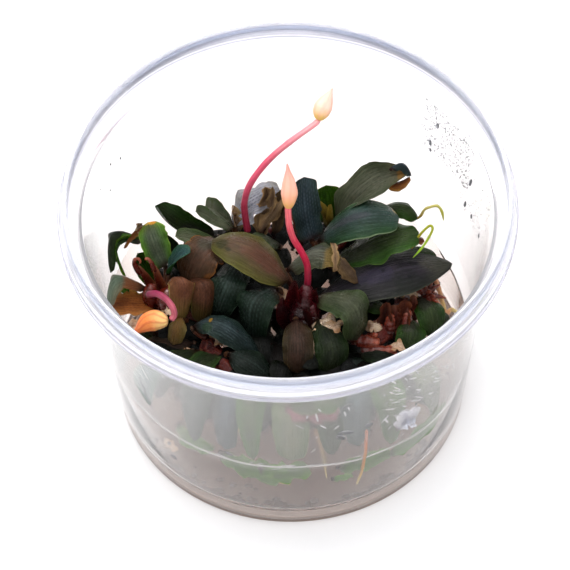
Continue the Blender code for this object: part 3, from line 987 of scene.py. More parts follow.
@dataclass
class CultureGel:
    """The clear gel in the cup's foot, slumped towards +X and wavy on top."""

    cup: CultureCup
    top: float = 26.3
    slump: float = 0.004
    slump_from: float = -5.0
    gap: float = 0.3
    meniscus: float = 0.3
    floor: float = 2.0
    shoulder: float = 6.6
    sides: int = 160
    grains: int = 420
    grain_reach: float = 38.2
    grain_size: tuple = (0.25, 1.3)
    grain_level: float = 1.86
    grain_thickness: float = 0.09
    finish: ClearFinish = ClearFinish((255, 249, 245), 1.03, 0.96, 0.0, 0.01, 70.0, 0.0002)
    grain_finish: StemFinish = StemFinish((108, 86, 72), (82, 64, 52), (124, 102, 86),
                                          (62, 48, 40), 0.5, 0.5, 0.0)

    def level(self, x: np.ndarray | float) -> np.ndarray:
        """Height of the top without its waves: level, then falling with the square of x."""
        return self.top - self.slump * np.maximum(0, x - self.slump_from) ** 2

    def surface(self, x: np.ndarray, y: np.ndarray) -> np.ndarray:
        """Height of the top, with its low waves."""
        swell = 0.18 * np.sin(x / 4.1 + 0.7) * np.cos(y / 3.3) + 0.1 * np.sin(x / 1.9 - y / 2.3)
        return self.level(x) + swell - 0.25

    def build(self) -> None:
        """Makes the gel: rings up its side, then rings in over its top to the middle."""
        inside = self.cup.foot - self.cup.wall - self.gap
        a = ring_angles(self.sides)
        low = [(0.01, self.floor), (inside - 0.9, self.floor), (inside - 0.3, self.floor + 0.2),
               (inside, self.floor + 0.9), (inside, self.shoulder - 1),
               (inside + 0.45, self.shoulder)]
        rings = [on_ring(r, a, z) for r, z in low]
        edge = float(self.cup.inner(self.top)) - self.gap
        for share in (0.35, 0.7, 0.9, 1.0):
            height = self.surface(edge * np.cos(a), edge * np.sin(a)) + self.meniscus
            z = self.shoulder + (height - self.shoulder) * share
            rings.append(on_ring(self.cup.inner(z) - self.gap, a, z))
        for share in (0.985, 0.96, 0.92, *np.linspace(0.88, 0.02, 34)):
            x, y = share * edge * np.cos(a), share * edge * np.sin(a)
            lift = self.meniscus * max(0.0, (share - 0.9) / 0.1) ** 2
            rings.append(np.stack([x, y, self.surface(x, y) + lift], -1))
        skin = Skin(np.array(rings), np.linspace(0, 1, len(rings)), ring_shares(self.sides))
        make_piece("culture_gel_clear", [skin], self.finish.material("clear_gel_body"),
                   ("culture_gel",), 50)

    def sediment(self) -> list[Skin]:
        """Flat brown grains that have settled at the foot, between the floor and the gel.

        A ring point is centre + size (cos e cos a, 0.7 cos e sin a, 0) + thickness sin e up,
        with e from just over the lower pole to just under the upper one.
        """
        rng = np.random.default_rng(77)
        way = np.radians(rng.uniform(-178, -2, self.grains))
        far = self.grain_reach - rng.gamma(1.1, 0.9, self.grains)
        size = rng.uniform(*self.grain_size, self.grains)
        a = ring_angles(7)
        e = np.radians(np.linspace(-80, 80, 4))
        flat = np.cos(e)[None, :, None] * size[:, None, None]
        x = (far * np.cos(way))[:, None, None] + flat * np.cos(a)
        y = (far * np.sin(way))[:, None, None] + flat * np.sin(a) * 0.7
        z = self.grain_level + self.grain_thickness * np.sin(e)[None, :, None]
        places = np.stack(np.broadcast_arrays(x, y, z), -1)
        return [Skin(p, np.linspace(0, 1, len(e)), ring_shares(len(a))) for p in places]

    def build_sediment(self, effects: Effects) -> None:
        """Makes the settled grains."""
        make_piece("foot_sediment", self.sediment(),
                   self.grain_finish.material("brown_grains", effects))


@dataclass
class WallWater:
    """Droplets, streaks and a fine mist of water on the inside of the cup's wall."""

    cup: CultureCup
    rings: int = 4
    sides: int = 8
    slope: float = 0.07
    clearance: float = 0.02
    # the grey tint darkens what is seen through the drops and mist: painted shade
    finish: ClearFinish = ClearFinish((190, 193, 200), 1.33, 0.95, 0.0, 0.03, 300.0, 0.00002)
    # the streaks and the bead along the gel get a milky white: painted highlight
    painted_glint: ClearFinish = ClearFinish((253, 253, 255), 1.33, 0.66, 0.03, 0.1, 300.0, 0.0)
    # each an angle in degrees, a height, half width, half height, depth and lean in degrees
    drops: tuple = (
        (39, 57.3, 0.5, 0.95, 0.4, 8), (41, 50.3, 0.45, 0.95, 0.4, -6),
        (40.6, 48, 0.4, 0.6, 0.3, 0), (20, 52.7, 0.45, 1.5, 0.4, 10),
        (21, 44.1, 0.45, 1.2, 0.4, 8), (16, 44.2, 0.4, 0.8, 0.3, 0), (8, 44.8, 0.35, 0.7, 0.3, -5),
        (153, 56.7, 0.3, 0.35, 0.2, 0), (148, 54.6, 0.3, 0.4, 0.2, 20),
        (161, 55, 0.2, 0.2, 0.15, 0), (156, 50.1, 0.25, 0.25, 0.2, 0),
        (-75, 51.5, 1.4, 0.5, 0.5, 28), (-75, 39.6, 2.0, 0.7, 0.5, -20),
        (-76.5, 38, 0.8, 1.6, 0.5, 35), (-68, 39.8, 1.0, 0.8, 0.5, 5),
        (-110, 29.4, 1.1, 0.5, 0.4, -25), (-139, 40.2, 0.35, 3.2, 0.3, 14),
        (-138, 36, 0.25, 2.2, 0.25, 20), (-131, 14.8, 0.9, 0.7, 0.4, 0))

    def lens(self, rows: np.ndarray) -> list[Skin]:
        """Water on the wall: each a flattened dome whose flat side lies on the plastic.

        A ring point is wall + T w cos(e) cos(a) + U h cos(e) sin(a) + N d sin(e), with T along
        the wall, U up it, N into the cup, and e rising from just under the wall to the top.

        Args:
            rows: angle, height, half width, half height, depth and lean of each.

        Returns:
            One surface for each.
        """
        a = -ring_angles(self.sides)
        e = np.radians(np.linspace(-12, 80, self.rings))
        turn, lean = np.radians(rows[:, 0]), np.radians(rows[:, 5])[:, None]
        out = on_ring(1, turn, 0)
        wide = np.stack([-np.sin(turn), np.cos(turn), np.zeros_like(turn)], -1)
        up = np.array([0, 0, 1]) + out * self.slope
        side = wide * np.cos(lean) + up * np.sin(lean)
        rise = up * np.cos(lean) - wide * np.sin(lean)
        centre = on_ring(self.cup.inner(rows[:, 1]) - self.clearance, turn, rows[:, 1])
        flat = np.cos(e)[None, :, None] * np.cos(a)[None, None, :]
        tall = np.cos(e)[None, :, None] * np.sin(a)[None, None, :]
        deep = np.broadcast_to(np.sin(e)[None, :, None], tall.shape)
        places = (centre[:, None, None]
                  + (flat * rows[:, 2, None, None])[..., None] * side[:, None, None]
                  + (tall * rows[:, 3, None, None])[..., None] * rise[:, None, None]
                  - (deep * rows[:, 4, None, None])[..., None] * out[:, None, None])
        return [Skin(p, np.linspace(0, 1, self.rings), ring_shares(self.sides)) for p in places]

    def fine_mist(self) -> np.ndarray:
        """Rows for small droplets: dense high up at the right, finer and fewer below it."""
        rng = np.random.default_rng(41)
        parts = []
        for count, angles, heights, sizes in (
                (1100, (21, 45), (48, 63), (0.1, 0.23)), (760, (2, 25), (42, 62), (0.08, 0.17)),
                (120, (-10, 6), (40, 60), (0.05, 0.1)), (70, (-56, -34), (34, 50), (0.12, 0.4)),
                (90, (-90, -45), (28, 54), (0.08, 0.22)),
                (24, (140, 200), (40, 62), (0.06, 0.16))):
            size = rng.uniform(*sizes, count) * rng.uniform(0.5, 1.0, count)
            parts.append(np.stack([rng.uniform(*angles, count), rng.uniform(*heights, count),
                                   size, size * rng.uniform(0.8, 1.5, count), size * 0.6,
                                   rng.uniform(-25, 25, count)], 1))
        return np.vstack(parts)

    def streaks(self) -> np.ndarray:
        """Rows for leaning streaks and smeared drops low at the front right and the left."""
        rng = np.random.default_rng(23)
        parts = []
        for count, angles, heights, lean in (
                (90, (-62, -26), (36, 60), (15, 65)), (18, (-90, -60), (30, 54), (-50, 60)),
                (14, (-144, -126), (36, 56), (10, 35)), (16, (-120, -40), (25.5, 28), (60, 110))):
            wide = rng.uniform(0.08, 0.26, count)
            parts.append(np.stack([rng.uniform(*angles, count), rng.uniform(*heights, count), wide,
                                   wide * rng.uniform(1.0, 10.5, count), wide * 0.8,
                                   rng.uniform(*lean, count)], 1))
        return np.vstack(parts)

    def gel_line(self, gel: CultureGel) -> Skin:
        """A bead of water where the gel meets the wall: a tube that thins out at both ends.

        Args:
            gel: the gel.

        Returns:
            The tube's surface.
        """
        a = np.radians(np.linspace(-196, 24, 133))
        reach = float(self.cup.inner(gel.top)) - 0.5
        z = gel.surface(reach * np.cos(a), reach * np.sin(a)) + 0.45
        r = self.cup.inner(z) - 0.26
        u = np.linspace(0, 1, len(a))
        thin = 0.08 + 0.92 * step_up(np.minimum(u, 1 - u), 0.0, 0.16)
        path = np.column_stack([on_ring(r, a, z), thin * (0.2 + 0.08 * waves(a, 3, 2))])
        return tube_skin(path, 10, 301, 17, 0.1, 0.01)

    def build(self, gel: CultureGel) -> None:
        """Makes the large drops, the mist, the streaks and the bead along the gel."""
        water, pale = self.finish.material("clear_water"), self.painted_glint.material("painted_glint_water")
        large = WallWater(self.cup, rings=9, sides=20).lens(np.array(self.drops, float))
        make_piece("wall_drops", large, water)
        make_piece("wall_mist", self.lens(self.fine_mist()), water)
        smears = WallWater(self.cup, rings=6, sides=14).lens(self.streaks())
        # painted highlight: the streaks and the bead are milky white
        make_piece("wall_streaks", smears, pale)
        make_piece("gel_bead", [self.gel_line(gel)], pale)


# ---------------------------------------------------------------- leaves


class Outline(Enum):
    """Outlines of a blade, each two powers: of the length within the sine, and of the sine."""

    OVAL = (0.9, 0.52)
    STRAP = (1.0, 0.2)
    BLUNT = (1.15, 0.32)
    POINTED = (0.9, 0.85)
    TAPERED = (0.75, 0.6)
    LANCE = (1.05, 0.85)


@dataclass(frozen=True)
class LeafRow:
    """One leaf: foot, middle and tip of its midrib, its width, and how its blade lies.

    Attributes:
        foot: first point of the midrib.
        middle: the point half way along.
        tip: last point.
        width: greatest width.
        rise: lift of the margins in degrees, less than nothing where they droop.
        roll: turn about the midrib in degrees.
        kind: its finish.
        outline: its outline.
        ripple: waviness of its margins, as a share of the half width.
        twist: turn of the tip against the foot in degrees.
        shade: partly tone, partly painted shade and light: darker under 0.5 and lighter over it.
        ragged: unevenness of the outline, as a share of the half width.
    """

    foot: Point
    middle: Point
    tip: Point
    width: float
    rise: float
    roll: float
    kind: Leaf
    outline: Outline = Outline.OVAL
    ripple: float = 0.05
    twist: float = 0.0
    shade: float = 0.5
    ragged: float = 0.025


OVAL, STRAP, BLUNT, POINTED, TAPERED, LANCE = Outline

LEAVES: dict[str, LeafRow] = dict(
    olive_broad=LeafRow((0.6, 0.4, 35), (-8, 3.5, 45), (-17.2, 8, 43.2), 11.6, -16, 5, Leaf.OLIVE,
        OVAL, 0.04, shade=0.47),
    brown_draped=LeafRow((-13, 11, 35), (-19, 6, 42.4), (-23.6, 2, 33), 10, -14, -8, Leaf.BROWN,
        BLUNT, 0.14, ragged=0.1),
    green_trough=LeafRow((-16, 18, 30.5), (-24.5, 15.5, 37.5), (-30, 18, 43.5), 8.6, 42, -5,
        Leaf.GREEN, BLUNT, shade=0.3),
    grey_blunt=LeafRow((-12.5, 18, 34.5), (-16, 17, 41.5), (-18.5, 16, 45.5), 5.8, 22, -10,
        Leaf.GREY, BLUNT, shade=0.58),
    grey_small=LeafRow((-12.5, 20.5, 29.2), (-18.2, 21.5, 34), (-21, 21, 37), 4.4, 15, 0,
        Leaf.GREY, shade=0.7),
    grey_pointed=LeafRow((-14.5, 12, 32.5), (-21.5, 11.2, 38.6), (-25.5, 10.7, 41.6), 6, 25, 0,
        Leaf.GREY, TAPERED, shade=0.64),
    shaded_left=LeafRow((-23, 10, 28.5), (-26.5, 12, 33), (-28.5, 14, 37), 5, 10, 0, Leaf.DARK),
    teal_hanging=LeafRow((-10.4, 9, 34.5), (-13.9, -0.7, 39), (-17, -3.8, 30.5), 8.8, -22, 0,
        Leaf.TEAL, STRAP, 0.12),
    teal_wide=LeafRow((-2.5, 0, 34.5), (-8.3, -6, 38.5), (-8.8, -9.5, 28), 9.6, -20, 0, Leaf.TEAL,
        STRAP, 0.1),
    blue_arch=LeafRow((-22, -8.6, 32.5), (-15.5, -10.5, 37), (-7.2, -14.4, 29.6), 7.4, -25, 0,
        Leaf.ARCHED, BLUNT, 0.1),
    teal_front=LeafRow((-14.4, -15, 31.6), (-9, -18.5, 33.3), (-4, -21, 28.3), 8, -20, 0,
        Leaf.TEAL, shade=0.42),
    torn_green=LeafRow((-28, 7.5, 33.5), (-30.5, 9, 41), (-31.5, 11.5, 46), 7.8, 15, 0, Leaf.TORN,
        BLUNT, 0.12, 20, shade=0.66, ragged=0.05),
    deep_green=LeafRow((-30, 4, 31), (-33, 5.5, 36.5), (-34, 7, 40.5), 6.8, 25, 0, Leaf.BRIGHT,
        BLUNT, shade=0.2),
    curled_left=LeafRow((-32.5, 13, 35.5), (-39, 10, 44), (-40.5, 5, 36), 5.6, -42, 0, Leaf.DARK,
        TAPERED, 0.12),
    blue_small=LeafRow((-27.6, 5.4, 34), (-25.2, 5.5, 40), (-22, 4.5, 43.8), 5.4, 25, 0, Leaf.SEA,
        shade=0.64),
    purple_inner=LeafRow((-27.2, 2.8, 34.5), (-23.8, -1.6, 41), (-24.4, -6.6, 32.4), 7.4, -32, -10,
        Leaf.PURPLE, BLUNT, 0.03, shade=0.56),
    purple_outer=LeafRow((-24.3, 4, 33), (-19.2, -1, 38.4), (-20.2, -5.8, 30.2), 7.8, -32, 8,
        Leaf.PURPLE, BLUNT, 0.03, shade=0.34),
    brown_arch=LeafRow((-32, 1.8, 32.5), (-38.5, 1, 39.5), (-41.2, -2.5, 34), 5.6, -34, 0,
        Leaf.SHEATHED, BLUNT, shade=0.72),
    tan_withered=LeafRow((-30.5, 0, 30.4), (-36.5, -1.4, 32.6), (-41, 0, 31), 6.8, 12, 0, Leaf.TAN,
        STRAP, 0.16, shade=0.68, ragged=0.14),
    olive_small=LeafRow((-24.4, -6.2, 33), (-25.6, -8.8, 34), (-26.6, -11.4, 30.4), 5.2, -34, 0,
        Leaf.AMBER, STRAP, shade=0.6),
    dark_low=LeafRow((-22, -10, 28.6), (-28, -10.8, 30.2), (-34, -9, 28.4), 6.4, -15, 0,
        Leaf.MAUVE, shade=0.6),
    slate_upright=LeafRow((5.5, 14, 33.5), (4, 16.5, 42), (4, 20, 50), 7.4, 26, 0, Leaf.SLATE,
        STRAP, 0.14, shade=0.66, ragged=0.08),
    back_dark=LeafRow((9.2, 19.2, 32.5), (9.3, 22, 37.8), (9, 23.7, 41.8), 8.4, 20, 0, Leaf.BRIGHT,
        BLUNT, shade=0.24),
    folded_top=LeafRow((10.5, 17, 33), (18, 20.2, 44.4), (27.4, 20.6, 49.6), 10.4, 30, 6,
        Leaf.CREASED, POINTED, 0.2, 24, ragged=0.08),
    blue_broad=LeafRow((6.6, 12.6, 34.5), (15, 12, 45), (25.2, 13, 43), 10.8, -16, 0, Leaf.BLUE,
        BLUNT, 0.03),
    green_under=LeafRow((9.5, 8.6, 31), (19.5, 9.5, 38.5), (29.6, 11, 40), 10.2, -12, -6,
        Leaf.GREEN, BLUNT, 0.12, shade=0.52, ragged=0.09),
    green_glossy=LeafRow((14.5, 20.5, 31), (24.5, 19, 39.5), (29.8, 16.6, 37.4), 6, -34, 0,
        Leaf.GREEN, BLUNT),
    slate_spotted=LeafRow((4, -2, 31.4), (21, 1.8, 37), (37, 5.4, 35.2), 13.4, -12, -4,
        Leaf.SPOTTED, LANCE, 0.04, shade=0.45),
    green_behind=LeafRow((14, 7.5, 28.5), (26, 9.5, 32.5), (33.8, 10.5, 31.5), 6.4, -15, 0,
        Leaf.GREEN),
    torn_grey=LeafRow((-0.6, 4.2, 35.4), (5.6, 5, 42), (12, 3, 41), 7.8, -30, 0, Leaf.TORN_END,
        STRAP, 0.1, shade=0.54, ragged=0.1),
    grey_low=LeafRow((-2, 14.5, 31), (-5, 13.5, 36), (-8.4, 11.5, 37.5), 5, -15, 0, Leaf.GREY),
    bent_grey=LeafRow((5, -2.2, 34), (14, -7.6, 39), (14.6, -12, 31), 9, -16, 0, Leaf.GREY, STRAP,
        0.12, shade=0.44),
    dark_front=LeafRow((5.5, -6, 31.5), (9, -14.5, 33.5), (8, -19.5, 28.5), 8.6, -25, 0, Leaf.DARK,
        BLUNT),
    mauve_front=LeafRow((1.2, -6.8, 32.6), (1.5, -14.5, 34.5), (1, -19.5, 29.6), 7.4, -20, 0,
        Leaf.MAUVE, STRAP, 0.12),
    green_square=LeafRow((28.6, 1, 28.5), (31.5, -5, 32.5), (32, -10, 28.5), 7, -20, 0, Leaf.GREEN,
        STRAP, shade=0.58),
    green_edged=LeafRow((27.2, -5.5, 29), (27, -10.5, 31.5), (25.5, -14.5, 28), 7.2, -20, 0,
        Leaf.GREEN, STRAP, shade=0.6),
    low_right=LeafRow((15, -13.4, 27), (19.5, -14.8, 29.5), (24.4, -15.8, 27.5), 4.6, -15, 0,
        Leaf.DARK),
    low_teal=LeafRow((12.5, -14, 27), (13.5, -17, 29.5), (14.5, -20, 27), 5.6, -15, 0, Leaf.TEAL,
        BLUNT),
    front_left=LeafRow((-20.5, -13.5, 30.5), (-27, -19, 35.5), (-30, -24, 29), 7, -25, 0,
        Leaf.DARK),
    front_upright=LeafRow((-17, -15.5, 31.5), (-19.5, -22, 38), (-21.5, -28, 38.5), 6.6, 20, 0,
        Leaf.DARK, BLUNT),
    front_middle=LeafRow((-10.5, -22, 30.5), (-8, -28.5, 36.5), (-7.5, -35, 34), 7.6, -20, 0,
        Leaf.DARK, BLUNT),
    front_right=LeafRow((2, -20, 28.5), (7.5, -27.5, 34.5), (10, -33, 31), 7.6, -20, 0, Leaf.DARK),
    front_far=LeafRow((20.3, -18.5, 25.2), (26, -23.5, 31.5), (31, -27.2, 28), 7, -20, 0,
        Leaf.DARK),
    withered_brown=LeafRow((-6.5, 15.5, 31.5), (-4.5, 19.5, 40), (-5, 20.5, 46), 5.2, 30, 0,
        Leaf.WITHERED, TAPERED, 0.45, 80, shade=0.74, ragged=0.3),
)

# Leaves that hang towards the front of the cup, and pieces of leaf pressed under the gel
FRONT: dict[str, LeafRow] = dict(
    hanging_a=LeafRow((-27, -15, 31), (-31.5, -23, 39), (-31.5, -29, 33), 6, -20, 0, Leaf.SEA,
        POINTED, shade=0.9),
    hanging_b=LeafRow((-19, -19, 30), (-21, -30, 41), (-21.8, -35.4, 28.4), 8, -15, 12, Leaf.TEAL,
        TAPERED, shade=0.7),
    hanging_c=LeafRow((-13, -21, 30), (-14.6, -32, 39), (-15, -37.6, 28), 6.4, -15, 14, Leaf.SLATE,
        STRAP, shade=0.8),
    hanging_d=LeafRow((-6, -22, 30), (-9, -33, 40), (-9, -39.8, 27.4), 6.6, -10, -16, Leaf.GREEN,
        TAPERED, 0.1, shade=1.0),
    hanging_e=LeafRow((0, -22, 30), (-0.6, -34, 38), (-0.8, -40.6, 27.6), 8.6, -8, 10, Leaf.GREY,
        STRAP, shade=1.0),
    hanging_f=LeafRow((7, -24, 30), (8, -34.5, 34), (8.3, -40, 28.6), 6.4, -15, -12, Leaf.GREEN,
        OVAL, shade=0.6),
    hanging_g=LeafRow((11, -20, 29), (13.4, -31.5, 39), (14, -38, 28.6), 7.6, -12, -10,
        Leaf.ARCHED, BLUNT, 0.1, shade=0.9),
    hanging_h=LeafRow((18, -18, 27), (20.6, -30, 37), (21, -35.4, 25), 7.4, -10, 14, Leaf.GREEN,
        TAPERED, 0.1, shade=1.0),
    hanging_i=LeafRow((24, -12, 26), (29, -23, 36), (31, -28.4, 25), 6.6, -15, -8, Leaf.GREY,
        POINTED, shade=0.9),
    hanging_j=LeafRow((-30, -8, 30), (-36.4, -14.5, 37), (-37.8, -18.5, 31), 4.6, -20, 0,
        Leaf.DARK, POINTED),
    hanging_pink=LeafRow((-2.5, -33.4, 36.8), (4, -35.4, 39.4), (10.2, -33.6, 37), 5, 5, 40,
        Leaf.ROSY, BLUNT, 0.3, shade=0.6, ragged=0.2),
    hanging_lime=LeafRow((-1.6, -32.4, 37.6), (4.6, -35.6, 42.4), (11.6, -32.6, 40.6), 4.4, 5, 40,
        Leaf.GREEN, BLUNT, 0.3, shade=1.0, ragged=0.2),
    sunken_a=LeafRow((-25.5, -28, 24.6), (-23, -31.6, 23.4), (-17.5, -35, 24.4), 4.6, 5, 70,
        Leaf.BRIGHT, TAPERED, ragged=0.3, shade=0.62),
    sunken_b=LeafRow((-16.6, -35.4, 24), (-11, -38.2, 22.2), (-5, -39.8, 24), 5.6, 5, 75,
        Leaf.BRIGHT, BLUNT, ragged=0.3, shade=0.62),
    sunken_c=LeafRow((-8, -39.4, 23.6), (-3, -40.4, 22.6), (3, -40.2, 24.4), 6.4, 5, 80,
        Leaf.BRIGHT, BLUNT, ragged=0.35, shade=0.62),
    sunken_d=LeafRow((9, -38.8, 21.5), (15, -37.2, 20.6), (21, -34.6, 21), 5.2, 5, 80, Leaf.BRIGHT,
        BLUNT, ragged=0.3, shade=0.62),
    sunken_e=LeafRow((20, -35, 19.5), (27, -30.4, 20), (34, -22.6, 21), 5, 5, 80, Leaf.BRIGHT,
        OVAL, ragged=0.3, shade=0.62),
    sunken_f=LeafRow((8, -39.2, 17.2), (10.4, -38.6, 16.8), (12.6, -38.2, 17.2), 2.2, 5, 80,
        Leaf.BRIGHT, OVAL, ragged=0.3, shade=0.8),
    sunken_g=LeafRow((-12, -38, 20.4), (-5, -39.6, 18.6), (-1, -39.8, 20), 3.4, 5, 80, Leaf.BRIGHT,
        TAPERED, ragged=0.5, shade=0.62),
)

# Small withered and sheathing blades at the crowns, which the CAD model leaves out
SCRAPS: dict[str, LeafRow] = dict(
    curtain_grey=LeafRow((-13, 19.5, 33), (-8, 21.5, 38.2), (-1.4, 22.5, 41.4), 8.6, 10, 0,
        Leaf.ASH, BLUNT, 0.25, ragged=0.16, shade=0.43),
    withered_green=LeafRow((-3.4, 16.6, 32), (-1.4, 19.4, 40), (-0.6, 20.4, 45.4), 4.2, 35, 20,
        Leaf.WITHERED, TAPERED, 0.4, -60, shade=0.36, ragged=0.25),
    withered_tan=LeafRow((-5.6, 16, 34), (-3.6, 18, 41), (-3.2, 19.8, 47), 3.2, 40, -20,
        Leaf.WITHERED, POINTED, 0.4, 90, ragged=0.3),
    withered_fold=LeafRow((-7, 15, 35), (-3.6, 16.6, 40.4), (-1.2, 19, 43.4), 3.6, -40, 30,
        Leaf.WITHERED, TAPERED, 0.5, -90, shade=0.5, ragged=0.3),
    cream_sheath=LeafRow((-11, 18.4, 32), (-12.2, 18.4, 37), (-12.4, 19.4, 41), 3.4, 30, 0,
        Leaf.PAPERY, TAPERED, 0.3, 40, shade=0.42, ragged=0.25),
    white_knot=LeafRow((22.4, -35, 30), (24.4, -34.4, 33.2), (26.8, -32.6, 31.4), 4.6, 20, 40,
        Leaf.ASH, BLUNT, 0.4, shade=1.0, ragged=0.3),
    gel_blob=LeafRow((-28.8, -26.4, 15.2), (-27.6, -28, 16.2), (-26, -29.4, 15.2), 2.4, 20, 40,
        Leaf.PAPERY, BLUNT, 0.5, shade=1.0, ragged=0.3),
    brown_stalk=LeafRow((3.2, 13.8, 33), (2, 15.6, 37), (0.8, 18.2, 39.6), 1.6, 30, 0, Leaf.RUST),
    crown_sheath_a=LeafRow((0.6, -4.6, 28), (0.8, -3.6, 34.5), (1.2, -1.8, 40.5), 5, 40, 0,
        Leaf.CRIMSON, TAPERED, shade=0.36),
    crown_sheath_b=LeafRow((4.6, -5.4, 28), (5.4, -4.2, 33), (5.8, -3, 38.5), 4.6, 40, 0,
        Leaf.CRIMSON, TAPERED, shade=0.36),
    crown_sheath_c=LeafRow((2.2, -8.4, 27.5), (2.6, -7.2, 31.5), (3.4, -6.2, 35), 4.8, -30, 0,
        Leaf.CRIMSON, TAPERED, shade=0.3),
    crown_sheath_d=LeafRow((0.2, -7, 28), (-1.2, -6, 33), (-1.6, -3.6, 36.6), 4.2, -30, 20,
        Leaf.CRIMSON, TAPERED, shade=0.3),
    paper_back=LeafRow((-3.8, 0.4, 29), (-2.8, -0.4, 32), (-1, -1.8, 33.6), 5.4, 25, 20,
        Leaf.PAPERY, BLUNT, 0.45, ragged=0.3, shade=0.9),
    paper_front=LeafRow((4.4, -7.8, 30), (7.6, -8.4, 33.4), (11.4, -10, 31), 6.4, -20, 0,
        Leaf.PAPERY, OVAL, 0.45, ragged=0.3, shade=0.8),
    paper_front_b=LeafRow((6.6, -9.6, 29), (9, -9.4, 32.6), (11.8, -8.4, 32.4), 3.4, 35, 30,
        Leaf.PAPERY, TAPERED, 0.6, 60, ragged=0.4, shade=1.0),
    paper_back_b=LeafRow((-5, -1.4, 29), (-3.6, -2, 32), (-2.2, -3.4, 32.4), 2.6, 35, -30,
        Leaf.PAPERY, TAPERED, 0.6, 60, ragged=0.4, shade=1.0),
    paper_purple=LeafRow((-28.4, -4.6, 33.6), (-27.6, -5.6, 35.4), (-26.6, -6.6, 35.4), 1.8, 20, 0,
        Leaf.PAPERY, BLUNT, 0.5, ragged=0.4, shade=1.0),
    paper_left=LeafRow((-19.4, -9.6, 28.6), (-17.6, -10.8, 31), (-15.6, -11.2, 30.4), 3.6, 25, 0,
        Leaf.PAPERY, BLUNT, 0.4, ragged=0.3, shade=0.9),
    paper_far_left=LeafRow((-26.4, -12.4, 28), (-24, -13.8, 29.6), (-21.4, -14.4, 29), 3.4, 15, 0,
        Leaf.PAPERY, BLUNT, 0.4, ragged=0.3, shade=0.9),
    paper_right=LeafRow((21.6, -12.6, 28), (24, -13.2, 29.8), (26, -14.4, 28.6), 2.6, 15, 0,
        Leaf.PAPERY, BLUNT, 0.4, ragged=0.3, shade=0.8),
    paper_rim=LeafRow((-37, -6.6, 31.4), (-35.4, -7.6, 33), (-33.2, -8.4, 32), 3.4, 10, 0,
        Leaf.PAPERY, BLUNT, 0.2, ragged=0.1, shade=0.9),
    paper_knob=LeafRow((16.4, -8.2, 29.6), (18.4, -8.4, 31.8), (20.6, -8.8, 30.6), 3.4, -25, 0,
        Leaf.PAPERY, OVAL, 0.4, ragged=0.3, shade=0.62),
    paper_under=LeafRow((25, 0.4, 29), (27.4, 0.8, 31), (29, 0, 30), 2.6, 15, 0, Leaf.PAPERY,
        BLUNT, 0.4, ragged=0.3, shade=0.9),
    green_arch=LeafRow((-35.6, 2.8, 30), (-37, 2.6, 34.5), (-38.6, 1.6, 33.4), 3.2, -20, 0,
        Leaf.BRIGHT, STRAP),
    curl_inner=LeafRow((-32.6, 10, 41.6), (-38.6, 8.6, 42.6), (-37.2, 4.6, 35), 2.6, 35, 30,
        Leaf.BRIGHT, TAPERED, 0.2, shade=0.32),
    curl_edge=LeafRow((-31.4, 11, 45.2), (-34.6, 10, 44.4), (-37.2, 8.2, 40.8), 2.2, -50, 0,
        Leaf.TAN, TAPERED, 0.3, ragged=0.2, shade=0.4),
    torn_stub=LeafRow((-32.6, 10.4, 43.6), (-33.4, 10.8, 45), (-33.6, 11.4, 46), 2.4, 10, 0,
        Leaf.PAPERY, BLUNT, 0.4, ragged=0.3, shade=0.4),
    fold_roll=LeafRow((23.4, 21.4, 49.8), (26.2, 21.8, 51.4), (28.2, 20.2, 49), 3.2, -45, 0,
        Leaf.SLATE, STRAP),
    fold_brown=LeafRow((22.2, 19.6, 47.6), (25, 19.2, 47.8), (27.8, 20, 49), 4.2, -30, -20,
        Leaf.TAN, OVAL, 0.06, shade=0.33),
    straw_sheath_a=LeafRow((8.6, 18.4, 33.5), (8.0, 17.6, 39), (6.6, 18, 43.6), 3.4, 40, -30,
        Leaf.STRAW, TAPERED),
    straw_sheath_b=LeafRow((9.6, 17.6, 33.5), (10.2, 16.8, 38.4), (9.8, 17.6, 42.6), 3.2, 40, 35,
        Leaf.STRAW, TAPERED),
    mustard_end=LeafRow((10.6, 3.6, 41.6), (13.4, 1.6, 39.6), (15.4, 0, 36.2), 5.0, -38, 0,
        Leaf.WITHERED, TAPERED, 0.16, ragged=0.1, shade=0.36),
    torn_fringe=LeafRow((9.8, 6.4, 42.6), (10.4, 3.6, 43.6), (10.2, 0.6, 40), 1.5, 20, 0,
        Leaf.WITHERED, STRAP, 0.7, ragged=0.4, shade=0.66),
    rust_behind=LeafRow((22.5, 10.4, 34), (26.5, 11.4, 37.2), (31, 11, 36.4), 4.2, -15, 0,
        Leaf.RUST, OVAL, 0.25, ragged=0.2),
    hook_sheath_a=LeafRow((-29.8, 1.4, 29), (-32, 1.2, 35.6), (-34.2, 3.2, 41), 3.6, 40, 0,
        Leaf.GARNET, TAPERED, shade=0.4),
    hook_sheath_b=LeafRow((-28.6, 0.4, 29), (-29.4, 0.2, 36), (-30.6, 2.6, 42), 3.6, 40, 0,
        Leaf.GARNET, TAPERED, shade=0.4),
    side_green=LeafRow((31.8, -3, 28.6), (34, -5.6, 30.6), (35.6, -8.4, 28.6), 3.6, -20, 0,
        Leaf.GREY),
    small_green=LeafRow((16, -1.6, 29.6), (19, -3.6, 32.4), (22.6, -4, 30.4), 3.8, -20, 0,
        Leaf.GREEN),
    column_a=LeafRow((20.8, -9, 27.4), (21.2, -7, 31), (21.6, -4.6, 35), 3.4, 30, 0, Leaf.RUST,
        BLUNT, 0.3, 30, shade=0.3, ragged=0.25),
    column_b=LeafRow((23, -9.4, 27.4), (23.4, -7.4, 31), (23.4, -5, 34.4), 3.0, -30, 0,
        Leaf.GARNET, STRAP, 0.3, -20, shade=0.4, ragged=0.25),
    column_c=LeafRow((25, -9, 27.4), (25.4, -6.6, 31), (25.8, -3.8, 34.6), 3.6, 30, 0, Leaf.RUST,
        STRAP, 0.3, 30, shade=0.36, ragged=0.25),
    column_d=LeafRow((27.4, -7, 27.4), (27.6, -4.6, 31), (28, -2.2, 34), 2.8, -30, 0, Leaf.GARNET,
        TAPERED, 0.3, 20, shade=0.4, ragged=0.2),
)


